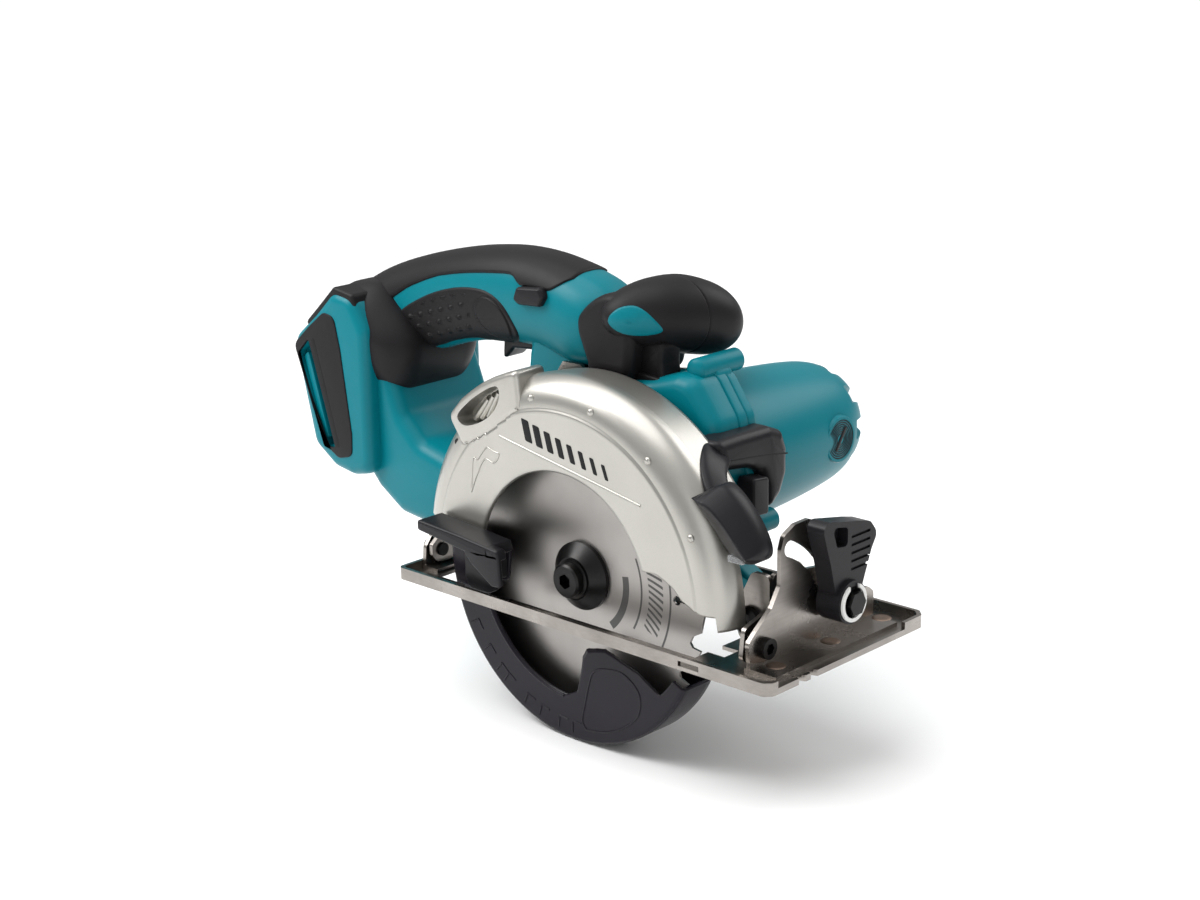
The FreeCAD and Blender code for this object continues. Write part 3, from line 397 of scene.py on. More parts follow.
def rounded(points, radius, count=200):
    # a closed polygon whose corners are parabolas that start where a circle of the radius would
    p = np.array(points, float)
    back = np.roll(p, 1, 0) - p
    ahead = np.roll(p, -1, 0) - p
    backRun = np.linalg.norm(back, axis=1)
    aheadRun = np.linalg.norm(ahead, axis=1)
    back /= backRun[:, None]
    ahead /= aheadRun[:, None]
    half = np.arccos(np.clip((back * ahead).sum(1), -0.9999, 0.9999)) / 2
    reach = np.minimum(radius / np.tan(half), 0.48 * np.minimum(backRun, aheadRun))[:, None]
    t = np.linspace(0, 1, 12)[None, :, None]
    start = (p + back * reach)[:, None]
    end = (p + ahead * reach)[:, None]
    line = ((1 - t) ** 2 * start + 2 * t * (1 - t) * p[:, None] + t ** 2 * end).reshape(-1, 2)
    return leftTurning(resample(line, count))


def drawnIn(line, depth):
    # the outline moved inwards along its own normals; points that fold over at tight corners are evened out
    along = unit(np.roll(line, -1, 0) - np.roll(line, 1, 0))
    moved = line - depth * np.stack([along[:, 1], -along[:, 0]], -1)
    gap = np.sqrt(((moved[:, None] - line[None]) ** 2).sum(2)).min(1)
    good = np.flatnonzero(gap > 0.96 * abs(depth))
    if depth <= 0 or len(good) == len(line):
        return moved
    index = np.arange(len(line))
    return np.stack([np.interp(index, good, moved[good, k], period=len(line)) for k in (0, 1)], -1)


def smoothLoop(points, count=200):
    # a closed cubic through the points
    p = np.array(points, float)
    wrapped = np.vstack([p[-2:], p, p[:2], p[2:3]])
    line = smoothLine(wrapped, (len(wrapped) - 1) * 40 + 1)[80:80 + len(p) * 40]
    return leftTurning(resample(line, count))


def inPlane(plane, line, level):
    a, b = line[..., 0], line[..., 1]
    level = np.broadcast_to(level, a.shape)
    order = {"xz": (a, level, b), "yz": (level, a, b), "xy": (a, b, level)}[plane]
    return np.stack(order, -1)


def splitRing(outer, inner, outerStart, innerStart):
    # the flat band between two loops as two faces, cut at the ends of the inner loop's longest reach
    reach = inner - inner.mean(0)
    axis = np.linalg.svd(reach, full_matrices=False)[2][0]
    ends = [int(np.argmax(reach @ axis)), int(np.argmin(reach @ axis))]
    near = [int(np.argmin(((outer - inner[e]) ** 2).sum(1))) for e in ends]

    def walk(first, last, count):
        steps = (last - first) % count or count
        return [(first + s) % count for s in range(steps + 1)]
    faces = []
    for one, two in ((0, 1), (1, 0)):
        outside = [outerStart + k for k in walk(near[one], near[two], len(outer))]
        inside = [innerStart + k for k in walk(ends[one], ends[two], len(inner))]
        faces.append(outside + inside[::-1])
    return faces


def addWalls(points, faces, top, bottom):
    # a band of faces between two loops, added to a mesh
    wallPoints, wallFaces = sheetOf(np.stack([top, bottom]), closeColumns=True)
    faces += [[len(points) + k for k in face] for face in wallFaces]
    return np.vstack([points, wallPoints])


def pillow(outline, low, high, plane="xz", edge=1.0, pockets=()):
    # an outline thickened from low to high, its two rims rounded by a quarter circle of edge
    turn = quarter(6)
    inwards = np.concatenate([edge * (1 - np.sin(turn)), edge * (1 - np.cos(turn))])
    levels = np.concatenate([low + edge * (1 - np.cos(turn)), high - edge * (1 - np.sin(turn))])
    rings = np.stack([inPlane(plane, drawnIn(outline, d), level) for d, level in zip(inwards, levels)])
    points, faces = sheetOf(rings, closeColumns=True)
    count = len(outline)
    last = (len(levels) - 1) * count
    cut = {side: (hole, depth) for side, hole, depth in pockets}
    if "through" in cut:
        hole = cut["through"][0]
        start = len(points)
        points = addWalls(points, faces, inPlane(plane, hole, low), inPlane(plane, hole, high))
        for first, shift in ((0, 0), (last, len(hole))):
            faces += splitRing(drawnIn(outline, edge), hole, first, start + shift)
        return points, faces
    for side, first, level in (("low", 0, low), ("high", last, high)):
        if side not in cut:
            faces.append(list(range(first, first + count)))
            continue
        hole, depth = cut[side]
        floor = level + depth if side == "low" else level - depth
        start = len(points)
        sunk = inPlane(plane, drawnIn(hole, 0.4), floor)
        points = addWalls(points, faces, inPlane(plane, hole, level), sunk)
        faces.append(list(range(start + len(hole), start + 2 * len(hole))))
        faces += splitRing(drawnIn(outline, edge), hole, first, start)
    return points, faces


def plate(corners, radius, low, high, edge, plane="xz", count=200):
    # a polygon with rounded corners, thickened in the same way
    return pillow(rounded(corners, radius, count), low, high, plane, edge)


def lathe(profile, centre, axis="y", count=96, ripple=None):
    # (radius, distance) pairs turned round an axis, with an optional change of radius by angle
    p = np.array(profile, float)
    angle = circle(count)
    radius = np.broadcast_to(p[:, 0][:, None], (len(p), count)).copy()
    along = np.broadcast_to(p[:, 1][:, None], (len(p), count)).copy()
    if ripple is not None:
        radius = radius + ripple(along, angle[None, :])
    u = radius * np.cos(angle)
    v = radius * np.sin(angle)
    c = np.array(centre, float)
    first, second = (u, along) if axis == "y" else (along, u)
    points = np.stack([c[0] + first, c[1] + second, c[2] + v], -1)
    return sheetOf(points, closeColumns=True, ends=True)


def ridge(line, level, halfWide, tall, plane="xz"):
    # a half-round rib along a line on a flat face, standing off by tall in the direction of its sign
    p = np.array(line, float)
    along = unit(np.gradient(p, axis=0))
    side = np.stack([-along[:, 1], along[:, 0]], -1)
    angle = np.linspace(0, math.pi, 9)
    flat = p[:, None] + halfWide * np.cos(angle)[None, :, None] * side[:, None]
    points = inPlane(plane, flat, level + tall * np.sin(angle)[None, :])
    return sheetOf(points, ends=True)


def smoothLine(points, count):
    # a cubic through the points, with slopes taken from each point's neighbours
    p = np.array(points, float)
    t = np.linspace(0, len(p) - 1, count)
    i = np.clip(t.astype(int), 0, len(p) - 2)
    f = (t - i)[:, None]
    slope = np.gradient(p, axis=0)
    return ((2 * f ** 3 - 3 * f ** 2 + 1) * p[i] + (f ** 3 - 2 * f ** 2 + f) * slope[i]
        + (3 * f ** 2 - 2 * f ** 3) * p[i + 1] + (f ** 3 - f ** 2) * slope[i + 1])


def isInside(points, outline):
    # true where a point has an odd number of the outline's edges to its right
    a = outline[None, :, :]
    b = np.roll(outline, -1, 0)[None, :, :]
    x, y = points[:, 0][:, None], points[:, 1][:, None]
    crosses = (a[..., 1] > y) != (b[..., 1] > y)
    rise = np.where(b[..., 1] == a[..., 1], 1e-9, b[..., 1] - a[..., 1])
    at = a[..., 0] + (y - a[..., 1]) * (b[..., 0] - a[..., 0]) / rise
    return (crosses & (x < at)).sum(1) % 2 == 1


def piece(name, chunks, finish, body, nodes=(), wall=0.0, inside=None, sharp=38.0):
    # one mesh from several (points, faces) chunks; a sheet is turned to face away from inside
    points = []
    faces = []
    for chunkPoints, chunkFaces in chunks:
        start = sum(len(p) for p in points)
        points.append(np.asarray(chunkPoints))
        faces += [[start + k for k in face] for face in chunkFaces]
    mesh = bpy.data.meshes.new(name)
    mesh.from_pydata((np.vstack(points) * mm).tolist(), [], faces)
    mesh.validate()
    work = bmesh.new()
    work.from_mesh(mesh)
    bmesh.ops.remove_doubles(work, verts=work.verts, dist=2e-6)
    if inside is None:
        bmesh.ops.recalc_face_normals(work, faces=work.faces)
    else:
        middle = Vector(inside) * mm
        total = sum((f.calc_center_median() - middle).dot(f.normal) * f.calc_area() for f in work.faces)
        if total < 0:
            bmesh.ops.reverse_faces(work, faces=work.faces)
    work.to_mesh(mesh)
    work.free()
    mesh.shade_smooth()
    mesh.set_sharp_from_angle(angle=math.radians(sharp))
    made = bpy.data.objects.new(name, mesh)
    bpy.context.scene.collection.objects.link(made)
    mesh.materials.append(finishes[finish])
    if wall > 0:
        solid = made.modifiers.new("wall", "SOLIDIFY")
        solid.thickness = wall * mm
        solid.offset = -1.0
    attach(made, body)
    if nodes:
        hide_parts(*nodes)
    return made


# upper guard

guard = {
    "axis": 17.0, "face": -14.0, "crease": 74.5, "outer": 88.0, "domeStart": -13.4,
    "domeEnd": -1.8, "back": 16.0, "wall": 1.6,
    "pocketEdge": [(-67.5, 78.5), (-59, 87.3), (-52.5, 92), (-45.5, 96.5), (-38.7, 99.9), (-31, 103),
        (-24, 105.2), (-22, 88), (-40, 75), (-58, 65)],
    "pocket": [(-60.3, 80.2), (-54, 86.2), (-47.5, 90.9), (-40, 95.2), (-35.2, 96.2), (-34.4, 91.5),
        (-38.5, 84.5), (-46, 79.2), (-54.6, 76.0), (-59.4, 76.8)],
    "bumps": (102.0, 77.0, 52.0, 26.0), "bumpRadius": 79.0,
}


def polarPoint(radius, degrees, level=0.0):
    a = np.radians(degrees)
    return np.stack(np.broadcast_arrays(radius * np.cos(a), level, guard["axis"] + radius * np.sin(a)), -1)


def guardShell():
    # radius and level go along the profile, and each profile point has its own first and last angle
    lip = np.array([(48.0, -12.6), (48.1, -13.5), (48.7, -14.0)])
    flat = np.stack([np.linspace(50, 73.4, 26), np.full(26, guard["face"])], -1)
    step = np.array([(74.1, -13.85), (74.6, -13.45), (75.1, -13.35)])
    t = np.linspace(0.04, math.pi / 2, 24)
    reach = guard["outer"] - guard["crease"]
    level = guard["domeStart"] + (guard["domeEnd"] - guard["domeStart"]) * (1 - np.cos(t))
    dome = np.stack([guard["crease"] + reach * np.sin(t), level], -1)
    skirt = np.stack([np.linspace(88.0, 87.9, 4), np.linspace(-1.2, 0.98, 4)], -1)
    rear = np.stack([np.linspace(87.9, 86.4, 14), np.linspace(1.02, 16, 14)], -1)
    radius, level = np.vstack([lip, flat, step, dome, skirt, rear]).T
    first = np.interp(radius, [48, 56.3, 64.1, 67.5, 76.1, 83, 83.2, 88],
        [19, 16.5, 10.8, 6.8, 2.8, 2.4, -1.8, -1.2])
    first = np.where(level > 1.0, 23.7, first)
    last = 180 - np.degrees(np.arcsin(13 / radius))
    s = np.linspace(0, 1, 260)[None, :]
    angle = first[:, None] + (last - first)[:, None] * s
    points, faces = sheetOf(polarPoint(radius[:, None], angle, level[:, None]))
    faces = np.array(faces)
    centre = points[faces].mean(1)[:, [0, 2]]
    hole = rounded(guard["pocketEdge"], 4)
    front = points[faces].mean(1)[:, 1] < 6
    faces = faces[~(isInside(centre, drawnIn(hole, 1.2)) & front)].tolist()
    piece("upper_guard_shell", [(points, faces)], "guardSilver", "housing", ["upper_guard"],
        wall=guard["wall"], inside=(0, 6, 17), sharp=50)


def guardBack():
    # the far wall: a half ring from the bearing flange out to the rim
    radius = np.linspace(17.4, 86.4, 40)
    low = np.degrees(np.arcsin(np.minimum(1, 15.5 / radius)))
    notch = np.degrees(np.arccos(np.minimum(1, 66 / radius)))
    top = np.degrees(np.arcsin(np.minimum(1, 35 / radius)))
    first = np.maximum(low, np.where(radius > 66, np.minimum(notch, top), 0))
    last = 180 - np.degrees(np.arcsin(np.minimum(1, 16.2 / radius)))
    s = np.linspace(0, 1, 160)[None, :]
    angle = first[:, None] + (last - first)[:, None] * s
    sheet = sheetOf(polarPoint(radius[:, None], angle, guard["back"]))
    piece("upper_guard_back", [sheet], "guardSilver", "housing", wall=2.0, inside=(0, 0, 17))


def guardPocket():
    # the chip outlet: a block with a sunk window and slanting vanes
    outer = rounded(guard["pocketEdge"], 5)
    window = smoothLoop(guard["pocket"], 160)
    block = pillow(outer, guard["face"] + 0.1, 4, edge=2.4, pockets=[("low", window, 9.0)])
    piece("guard_outlet", [block], "guardSilver", "housing")
    flutes = []
    for k in range(4):
        # flutes lie side by side on the window's floor, running the way that the chips leave
        line = np.linspace((-56.5 + k * 4.2, 77.4 + k * 1.2), (-47.5 + k * 3.2, 87.6 + k * 1.9), 10)
        flutes.append(ridge(line, guard["face"] + 9.1, 2.1, -3.4))
    piece("guard_outlet_flutes", flutes, "guardSilver", "housing")


marks = {
    # plain bars on the guard: first one's corner, step to the next, and size, each a little smaller
    "count": 8, "x": -19.0, "z": 75.8, "pitch": 6.5, "slope": 0.184, "lean": 2.4,
    "tall": 9.6, "lower": 0.45, "wide": 4.3, "narrower": 0.32,
}


def guardDetails():
    bumps = []
    for degrees in guard["bumps"]:
        x, y, z = polarPoint(guard["bumpRadius"], degrees)
        t = quarter(7)
        cap = np.stack([1.7 * np.cos(t), -12.5 - 1.15 * np.sin(t)], -1)
        bumps.append(lathe(cap, (x, 0, z), count=24))
    piece("guard_bumps", bumps, "guardSilver", "housing")
    line = ridge(np.linspace((-34.5, 75), (45.6, 60.3), 30), guard["face"], 0.55, -0.45)
    arrow = smoothLine([(-53.4, 46.5), (-52.6, 54), (-51.4, 62), (-48.6, 62.2), (-43.2, 68.2),
        (-38.5, 67.4), (-35.4, 66.6), (-38.6, 62.4), (-44.4, 62.8), (-49.4, 55.0), (-53.4, 46.5)], 90)
    piece("guard_ribs", [line, ridge(arrow, guard["face"], 0.35, -0.3)], "guardSilver", "housing")
    # plain slanted bars where a maker would put a name
    bars = []
    lean = marks["lean"]
    for k in range(marks["count"]):
        x = marks["x"] + k * marks["pitch"]
        z = marks["z"] - marks["slope"] * (x - marks["x"])
        tall = marks["tall"] - k * marks["lower"]
        wide = marks["wide"] - k * marks["narrower"]
        drop = marks["slope"] * wide
        corner = [(x, z), (x + wide, z - drop), (x + wide - lean, z + tall - drop), (x - lean, z + tall)]
        bars.append(plate(corner, 0.5, guard["face"] - 0.09, guard["face"] + 0.2, 0.05, count=32))
    piece("guard_marks", bars, "inkAndPaintedShade", "housing")
    # a dark cup set where the guard's small screw hole is: painted shade of the hole
    dark = lathe([(0.01, -12.1), (1.5, -12.1), (1.7, -11.8), (1.7, -10)], (-63.4, 0, 66.6), count=24)
    piece("guard_hole_painted_shade", [dark], "inkAndPaintedShade", "housing")


# lower guard

cup = {
    "radius": 72.5, "low": -10.2, "high": 9.0, "wall": 1.5, "first": 172.0, "last": 333.0, "corner": 2.2,
    "ticks": (-151, -140, -131, -126, -114, -106, -96, -89),
}


def lowerGuard():
    # near wall whose inner edge varies with the angle, rounded rim, and a far wall in to the hub
    angle = np.linspace(cup["first"], cup["last"], 420)
    inner = np.interp(angle, [172, 268, 275, 279, 284, 290, 300, 307.6, 312, 317, 321, 323, 333],
        [52, 52, 49, 41, 33, 30, 31, 32.8, 36.5, 43, 50, 64, 66])
    s = np.linspace(0, 1, 18)[:, None]
    nearR = inner + (cup["radius"] - cup["corner"] - inner) * s
    turn = quarter(7)[1:][:, None] * np.ones_like(angle)
    cornerR = cup["radius"] - cup["corner"] * (1 - np.sin(turn))
    cornerY = cup["low"] + cup["corner"] * (1 - np.cos(turn))
    sideY = np.linspace(-6, 7.4, 6)[:, None] * np.ones_like(angle)
    farR = np.linspace(70.9, 12.2, 14)[:, None] * np.ones_like(angle)
    radius = np.vstack([nearR, cornerR, np.full_like(sideY, cup["radius"]), farR])
    level = np.vstack([np.full_like(nearR, cup["low"]), cornerY, sideY, np.full_like(farR, cup["high"])])
    sheet = sheetOf(polarPoint(radius, angle[None, :], level))
    piece("lower_guard_cup", [sheet], "guardPlastic", "lower_guard", ["lower_guard"], wall=cup["wall"],
        inside=(0, -1, 17), sharp=55)
    ring = np.array([(16.8, 7.6), (16.8, 13.6), (15.9, 13.6), (15.9, 9.4), (13.1, 9.4), (13.1, 13.6),
        (11.6, 13.6), (11.6, 7.6)])
    a = circle(96)[None, :]
    loops = np.stack([ring[:, 0][:, None] * np.cos(a), ring[:, 1][:, None] + 0 * a,
        guard["axis"] + ring[:, 0][:, None] * np.sin(a)], -1)
    piece("lower_guard_hub", [sheetOf(loops, closeRows=True, closeColumns=True)], "guardPlastic",
        "lower_guard")
    lug = plate([(-36, 8), (-60, 8), (-66, 20), (-62, 28), (-34, 26)], 4, -10.2, -8.7, 0.5)
    ribs = []
    for degrees in cup["ticks"]:
        ends = polarPoint(np.array([63.5, 68.8]), degrees)[:, [0, 2]]
        ribs.append(ridge(np.linspace(ends[0], ends[1], 6), cup["low"], 0.45, -0.4))
        hook = polarPoint(np.linspace(63.5, 63.5, 5), np.linspace(degrees, degrees + 4.5, 5))[:, [0, 2]]
        ribs.append(ridge(hook, cup["low"], 0.4, -0.35))
    leaf = polarPoint(np.array([66, 66.5, 66, 64, 57, 47, 41, 40, 46, 55, 62, 66.0]),
        np.array([278, 288, 298, 308, 314.5, 313, 303, 291, 284, 279, 276.5, 278.0]))[:, [0, 2]]
    ribs.append(ridge(smoothLine(leaf, 120), cup["low"], 0.45, -0.4))
    bead = polarPoint(53.2, np.linspace(176, 266, 120))[:, [0, 2]]
    ribs.append(ridge(bead, cup["low"], 0.7, -0.5))
    piece("lower_guard_details", [lug] + ribs, "guardPlastic", "lower_guard")


leverParts = (
    # points in the outline, its corners, their radius, first and last y, and edge radius
    (200, [(-72, 34), (-46, 32.4), (-27.6, 30.6), (-26.5, 25.8), (-34, 24.6), (-72, 29.2)], 1.5, -30, -15.2,
        1.2),
    (80, [(-30, 30.8), (-22, 30), (-21, 25.5), (-30, 25)], 1.5, -30, -24.6, 1.1),
    (200, [(-44, 27), (-21.5, 28.5), (-20.5, 14), (-26, 13.6), (-38, 21)], 2, -30, -27.6, 0.9),
    (200, [(-56.5, 28), (-36, 28), (-36, 6), (-42, 3), (-54, 3), (-56.5, 8)], 3, -16.7, -15, 0.6),
    (200, [(-46.5, 24), (-36, 24), (-36, 10), (-46.5, 10)], 2, -15.5, -10.2, 0.6),
)


def guardLever():
    # a sloping thumb shelf with a turned-down lip, on a leg that reaches the cup's lug
    parts = [plate(*given, count=count) for count, *given in leverParts]
    piece("guard_lever_body", parts, "blackPlastic", "lower_guard", ["guard_lever"])


# motor

motor = {"x": 21.683, "z": 62.053, "brush": 110.0}


def motorBarrel():
    # radius falls along the axis, and ten scallops are cut where it rounds into the end
    line = smoothLine([(33.0, 49), (32.9, 62), (32.4, 75), (31.7, 88), (30.8, 100), (29.6, 112),
        (27.9, 123), (25.2, 131), (21.6, 136.6), (17.0, 139.4), (12.0, 140)], 150)

    def scallop(y, a):
        wave = np.clip(np.cos(10 * a) * 2.2 + 0.2, 0, 1)
        zone = np.clip((y - 126.5) / 2.0, 0, 1) * np.clip((141 - y) / 2.0, 0, 1)
        return -2.3 * wave * zone
    skin = lathe(line, (motor["x"], 0, motor["z"]), count=300, ripple=scallop)
    seam = lathe([(33.05, 50.6), (33.4, 50.9), (33.4, 53.2), (33.02, 53.6)], (motor["x"], 0, motor["z"]),
        count=160)
    collars = []
    for side in (-1, 1):
        profile = [(8.8, 24), (10.6, 25), (10.6, 29.6), (10.1, 30.5), (9.0, 30.6), (8.8, 30.2)]
        collars.append(lathe([(r, side * d) for r, d in profile], (motor["x"], motor["brush"], motor["z"]),
            "x", 72))
    piece("motor_barrel", [skin, seam] + collars, "tealPlastic", "housing", ["motor_housing"], sharp=30)
    # dark raised strips on the motor's end stand for the vent slots: painted shade of the openings
    vents = []
    for k in range(10):
        a = math.radians(36 * k + 18)
        run = np.linspace(5.5, 15.5, 6)
        line = np.stack([motor["x"] + run * math.cos(a), motor["z"] + run * math.sin(a)], -1)
        vents.append(ridge(line, 139.9, 1.2, 0.25))
    piece("motor_vent_painted_shade", vents, "inkAndPaintedShade", "housing")


def brushCaps():
    # ribbed round caps with a coin slot across each
    chunks = []
    for side in (-1, 1):
        rings = [(8.6, 25)] + [(8.6 - 0.1 * k, 29.6 + 0.35 * (k % 2)) for k in range(2)]
        rings += [(8.2 - 1.0 * k + 0.25 * m, 30.1 + 0.35 * (m in (1, 2))) for k in range(7)
            for m in (3, 2, 1, 0)]
        chunks.append(lathe([(r, side * d) for r, d in rings], (motor["x"], motor["brush"], motor["z"]),
            "x", 64))
        lean = np.array([math.sin(0.6), math.cos(0.6)]) * 6.0
        at = np.array([motor["brush"], motor["z"]])
        slot = ridge(np.linspace(at - lean, at + lean, 6), motor["x"] + side * 30.3, 1.0, side * 0.35, "yz")
        chunks.append(slot)
    piece("brush_cap_faces", chunks, "blackPlastic", "housing", ["brush_caps"])


# gear case, front cover and lamp

case = {
    "outline": [(0, 2.4), (-11.5, 7.4), (-14.6, 19), (-24, 34), (-25, 62), (-23, 97), (-1, 98.5), (18, 101),
        (32, 105), (41, 104), (53, 87), (57, 62), (50, 34), (31, 12), (11.5, 7.4)],
    # x, z, first and last y of the two screw bosses
    "bosses": ((36, 106, 30, 58), (52, 38, 34, 62)), "bossRadius": 4.9,
    "web": [(25, 96), (31.4, 108.6), (38, 109.4), (42, 103), (40, 92)],
    "lug": [(38, 12), (60, 7.5), (88, 7), (91.6, 12), (91.6, 21), (84, 25), (66.5, 35), (66.5, 22)],
    "nearLug": [(66.6, 12), (70, 7.5), (88, 7), (91.6, 12), (91.6, 21), (84, 25), (70, 30), (66.6, 30)],
}


def gearCase():
    outline = rounded(case["outline"], 9)
    body = pillow(outline, 22.5, 44.0, edge=6.5)
    band = pillow(drawnIn(outline, -0.5), 38.5, 43.8, edge=0.7)
    lid = pillow(outline, 44.2, 49.6, edge=1.0)
    nose = lathe([(14.6, 20), (14.6, 27)], (0, 0, guard["axis"]))
    # screw bosses at the top and the bottom, with dark screws in their ends
    bosses = []
    ends = []
    wide = case["bossRadius"]
    for x, z, low, high in case["bosses"]:
        profile = [(wide * math.sin(a), low + 2.0 * (1 - math.cos(a))) for a in quarter(6)]
        profile += [(wide, high - 0.8), (wide - 0.7, high)]
        bosses.append(lathe(profile, (x, 0, z), count=48))
        ends.append(lathe([(3.6, high - 1), (3.6, high + 0.5), (2.2, high + 0.9), (0.8, high + 0.2)],
            (x, 0, z), count=32))
    web = plate(case["web"], 4, 38, 49, 2.0)
    lug = plate(case["lug"], 4, 16.2, 26.2, 1.8)
    near = plate(case["nearLug"], 4, 10.0, 26.2, 1.6)
    piece("gear_case", [body, band, nose, web, lug, near] + bosses, "tealPlastic", "housing",
        ["gear_housing"])
    piece("gear_case_cover", [lid], "tealPlastic", "housing", ["gear_cover"])
    piece("case_screws", ends, "darkSteel", "housing")


cover = {
    # outline in the plane across the saw, the seam on its face, and the middle line of the arm to the lamp
    "outline": [(14, 83.2), (30, 83.4), (48, 83), (56.5, 79.6), (59.6, 72), (59.4, 61), (55.5, 52.5),
        (49.5, 47.6), (45.6, 48.8), (45.4, 58), (42.8, 64.6), (36, 67.6), (16, 70.4)],
    "low": 47, "high": 63.5, "seam": [(15, 75.0), (30, 73.6), (46, 71.6), (58, 69.6)],
    "arm": [(57, 19, 77.5), (62, 12, 76.5), (67, 5.5, 73.5), (73, 1, 68.5), (80, -2, 62), (87, -4, 54),
        (92, -5, 48)],
    "out": (0.75, -0.2, 0.63), "armWide": 6.4, "armTall": 3.0, "power": 0.6, "taper": (1.15, 0.55),
}


def frontCover():
    # hooked dark cover across the front, and a tapering arm out to the lamp along the guard
    face = plate(cover["outline"], 3.2, cover["low"], cover["high"], 4.5, "yz")
    seam = ridge(smoothLine(cover["seam"], 40), cover["high"], 0.35, 0.12, "yz")
    path = smoothLine(cover["arm"], 60)
    out = np.array(cover["out"])
    side = unit(np.cross(unit(np.gradient(path, axis=0)), out))
    a = circle(40)
    taper = np.linspace(*cover["taper"], len(path))[:, None, None]
    wide = (signedPower(np.cos(a), cover["power"]) * cover["armWide"])[None, :, None]
    tall = (signedPower(np.sin(a), cover["power"]) * cover["armTall"])[None, :, None]
    tube = path[:, None] + taper * (side[:, None] * wide + out * tall)
    piece("front_cover_face", [face, sheetOf(tube, closeColumns=True, ends=True)], "blackPlastic",
        "housing", ["front_cover"])
    piece("front_cover_seam", [seam], "inkAndPaintedShade", "housing")


beak = {
    "outline": [(71.2, 67.6), (75.5, 71.5), (81.5, 74.0), (88, 70.5), (95.5, 63), (101, 54.5),
        (101.8, 48.4), (97, 44.9), (89, 44.9), (82, 50.4), (76, 57.5), (71.8, 63)],
    "keel": [(73.5, 69.5), (83, 66.2), (92, 59.0), (98, 52.5), (100.6, 49.8)],
    "rim": -6.0, "rise": 9.0,
}


def lampBeak():
    # a keeled wedge: outline points are drawn in towards the keel as the level rises
    edgeLine = smoothLoop(beak["outline"], 200)
    keel = smoothLine(beak["keel"], len(edgeLine) // 2)
    nearest = keel[np.argmin(((edgeLine[:, None] - keel[None]) ** 2).sum(2), axis=1)]
    share = np.linspace(0, 0.97, 12)
    rings = [inPlane("xz", nearest + (edgeLine - nearest) * (1 - s), beak["rim"] - beak["rise"] * s ** 0.8)
        for s in share]
    rings.insert(0, inPlane("xz", edgeLine, 0.5))
    rings.insert(0, inPlane("xz", drawnIn(edgeLine, 1.5), 2.0))
    points, faces = sheetOf(np.stack(rings), closeColumns=True, ends=True)
    centre = np.array([0.0, 0.0, guard["axis"]])
    flat = points - centre
    reach = np.hypot(flat[:, 0], flat[:, 2])
    start, end = guard["domeStart"], guard["domeEnd"]
    rise = np.clip((points[:, 1] - start) / (end - start), 0, 1)
    dome = guard["crease"] + (guard["outer"] - guard["crease"]) * np.sqrt(1 - (1 - rise) ** 2) + 0.6
    push = np.where(points[:, 1] > -14.2, np.maximum(dome / reach, 1.0), 1.0)
    points = centre + np.stack([flat[:, 0] * push, flat[:, 1], flat[:, 2] * push], -1)
    piece("lamp_beak", [(points, faces)], "blackPlastic", "housing", ["lamp_housing"], sharp=60)


def lockButton():
    key = plate([(31, 49), (41, 48), (41, 64), (31, 65)], 1.6, 58.5, 67.5, 1.0, "yz", 80)
    piece("spindle_lock_key", [key], "blackPlastic", "shaft_lock", ["shaft_lock_button"])


# main handle and battery mount

grip = {
    "y": 38.0, "power": 2.5,
    # x, z, half width, half height and tilt in degrees, from the back to the front
    "stations": [(-158, 98, 25, 22, 42), (-143, 106, 20, 22, 30), (-125, 112.5, 17.5, 21.5, 19),
        (-105, 118, 17, 21, 13), (-85, 121.5, 17, 21, 7), (-65, 123, 17, 21, 0),
        (-45, 121.5, 17.5, 20.5, -9), (-24, 116, 18, 20, -20), (-8, 109, 14, 15, -30)],
    "coverLow": [(-158, 70), (-150, 80), (-146, 108), (-128, 121.5), (-110, 128.5), (-92, 132), (-76, 134),
        (-62, 135), (-57, 131), (-47, 131), (-38, 130.5), (-33, 134), (-28, 137)],
    "pad": [(-144, 100), (-136, 108), (-127, 114.3), (-112, 121.2), (-95, 125.8), (-79, 126.6),
        (-68, 122.4), (-61.5, 114.8), (-60.5, 107.5), (-69, 101.6), (-80, 101), (-91, 101.6), (-104, 98.8),
        (-116, 94.6), (-128, 91), (-138, 93)],
    "padRaise": 0.7, "coverRaise": 0.9,
}
gripRun = smoothLine(grip["stations"], 320)


def gripSurface(u, v, lift):
    # superellipse round the centre line: u is 0 to 1 along it, v is the angle up from the far side
    at = u * (len(gripRun) - 1)
    x, z, wide, tall, tilt = [np.interp(at, np.arange(len(gripRun)), gripRun[:, k]) for k in range(5)]
    lean = np.radians(tilt)
    power = 2 / grip["power"]
    c = (wide + lift) * signedPower(np.cos(v), power)
    s = (tall + lift) * signedPower(np.sin(v), power)
    return np.stack(np.broadcast_arrays(x - s * np.sin(lean), grip["y"] + c, z + s * np.cos(lean)), -1)


def gripStation(points):
    # the nearest station to each side-view point, its half sizes and how far above it the point is
    nearest = np.argmin(((points[:, None] - gripRun[None, :, :2]) ** 2).sum(2), axis=1)
    x, z, wide, tall, tilt = gripRun[nearest].T
    lean = np.radians(tilt)
    off = (points[:, 1] - z) * np.cos(lean) - (points[:, 0] - x) * np.sin(lean)
    return nearest, wide, tall, off


def gripSide(points, lift):
    # side-view points carried onto the near flank by the superellipse's width at the nearest station
    wide, tall, off = gripStation(points.reshape(-1, 2))[1:]
    lift = lift.reshape(-1)
    share = np.clip(np.abs(off) / (tall + lift), 0, 0.995)
    half = (wide + lift) * (1 - share ** grip["power"]) ** (1 / grip["power"])
    return half.reshape(points.shape[:-1])


def gripTube():
    points = gripSurface(np.linspace(0, 1, 150)[:, None], circle(72)[None, :], 0.0)
    return sheetOf(points, closeColumns=True, ends=True)


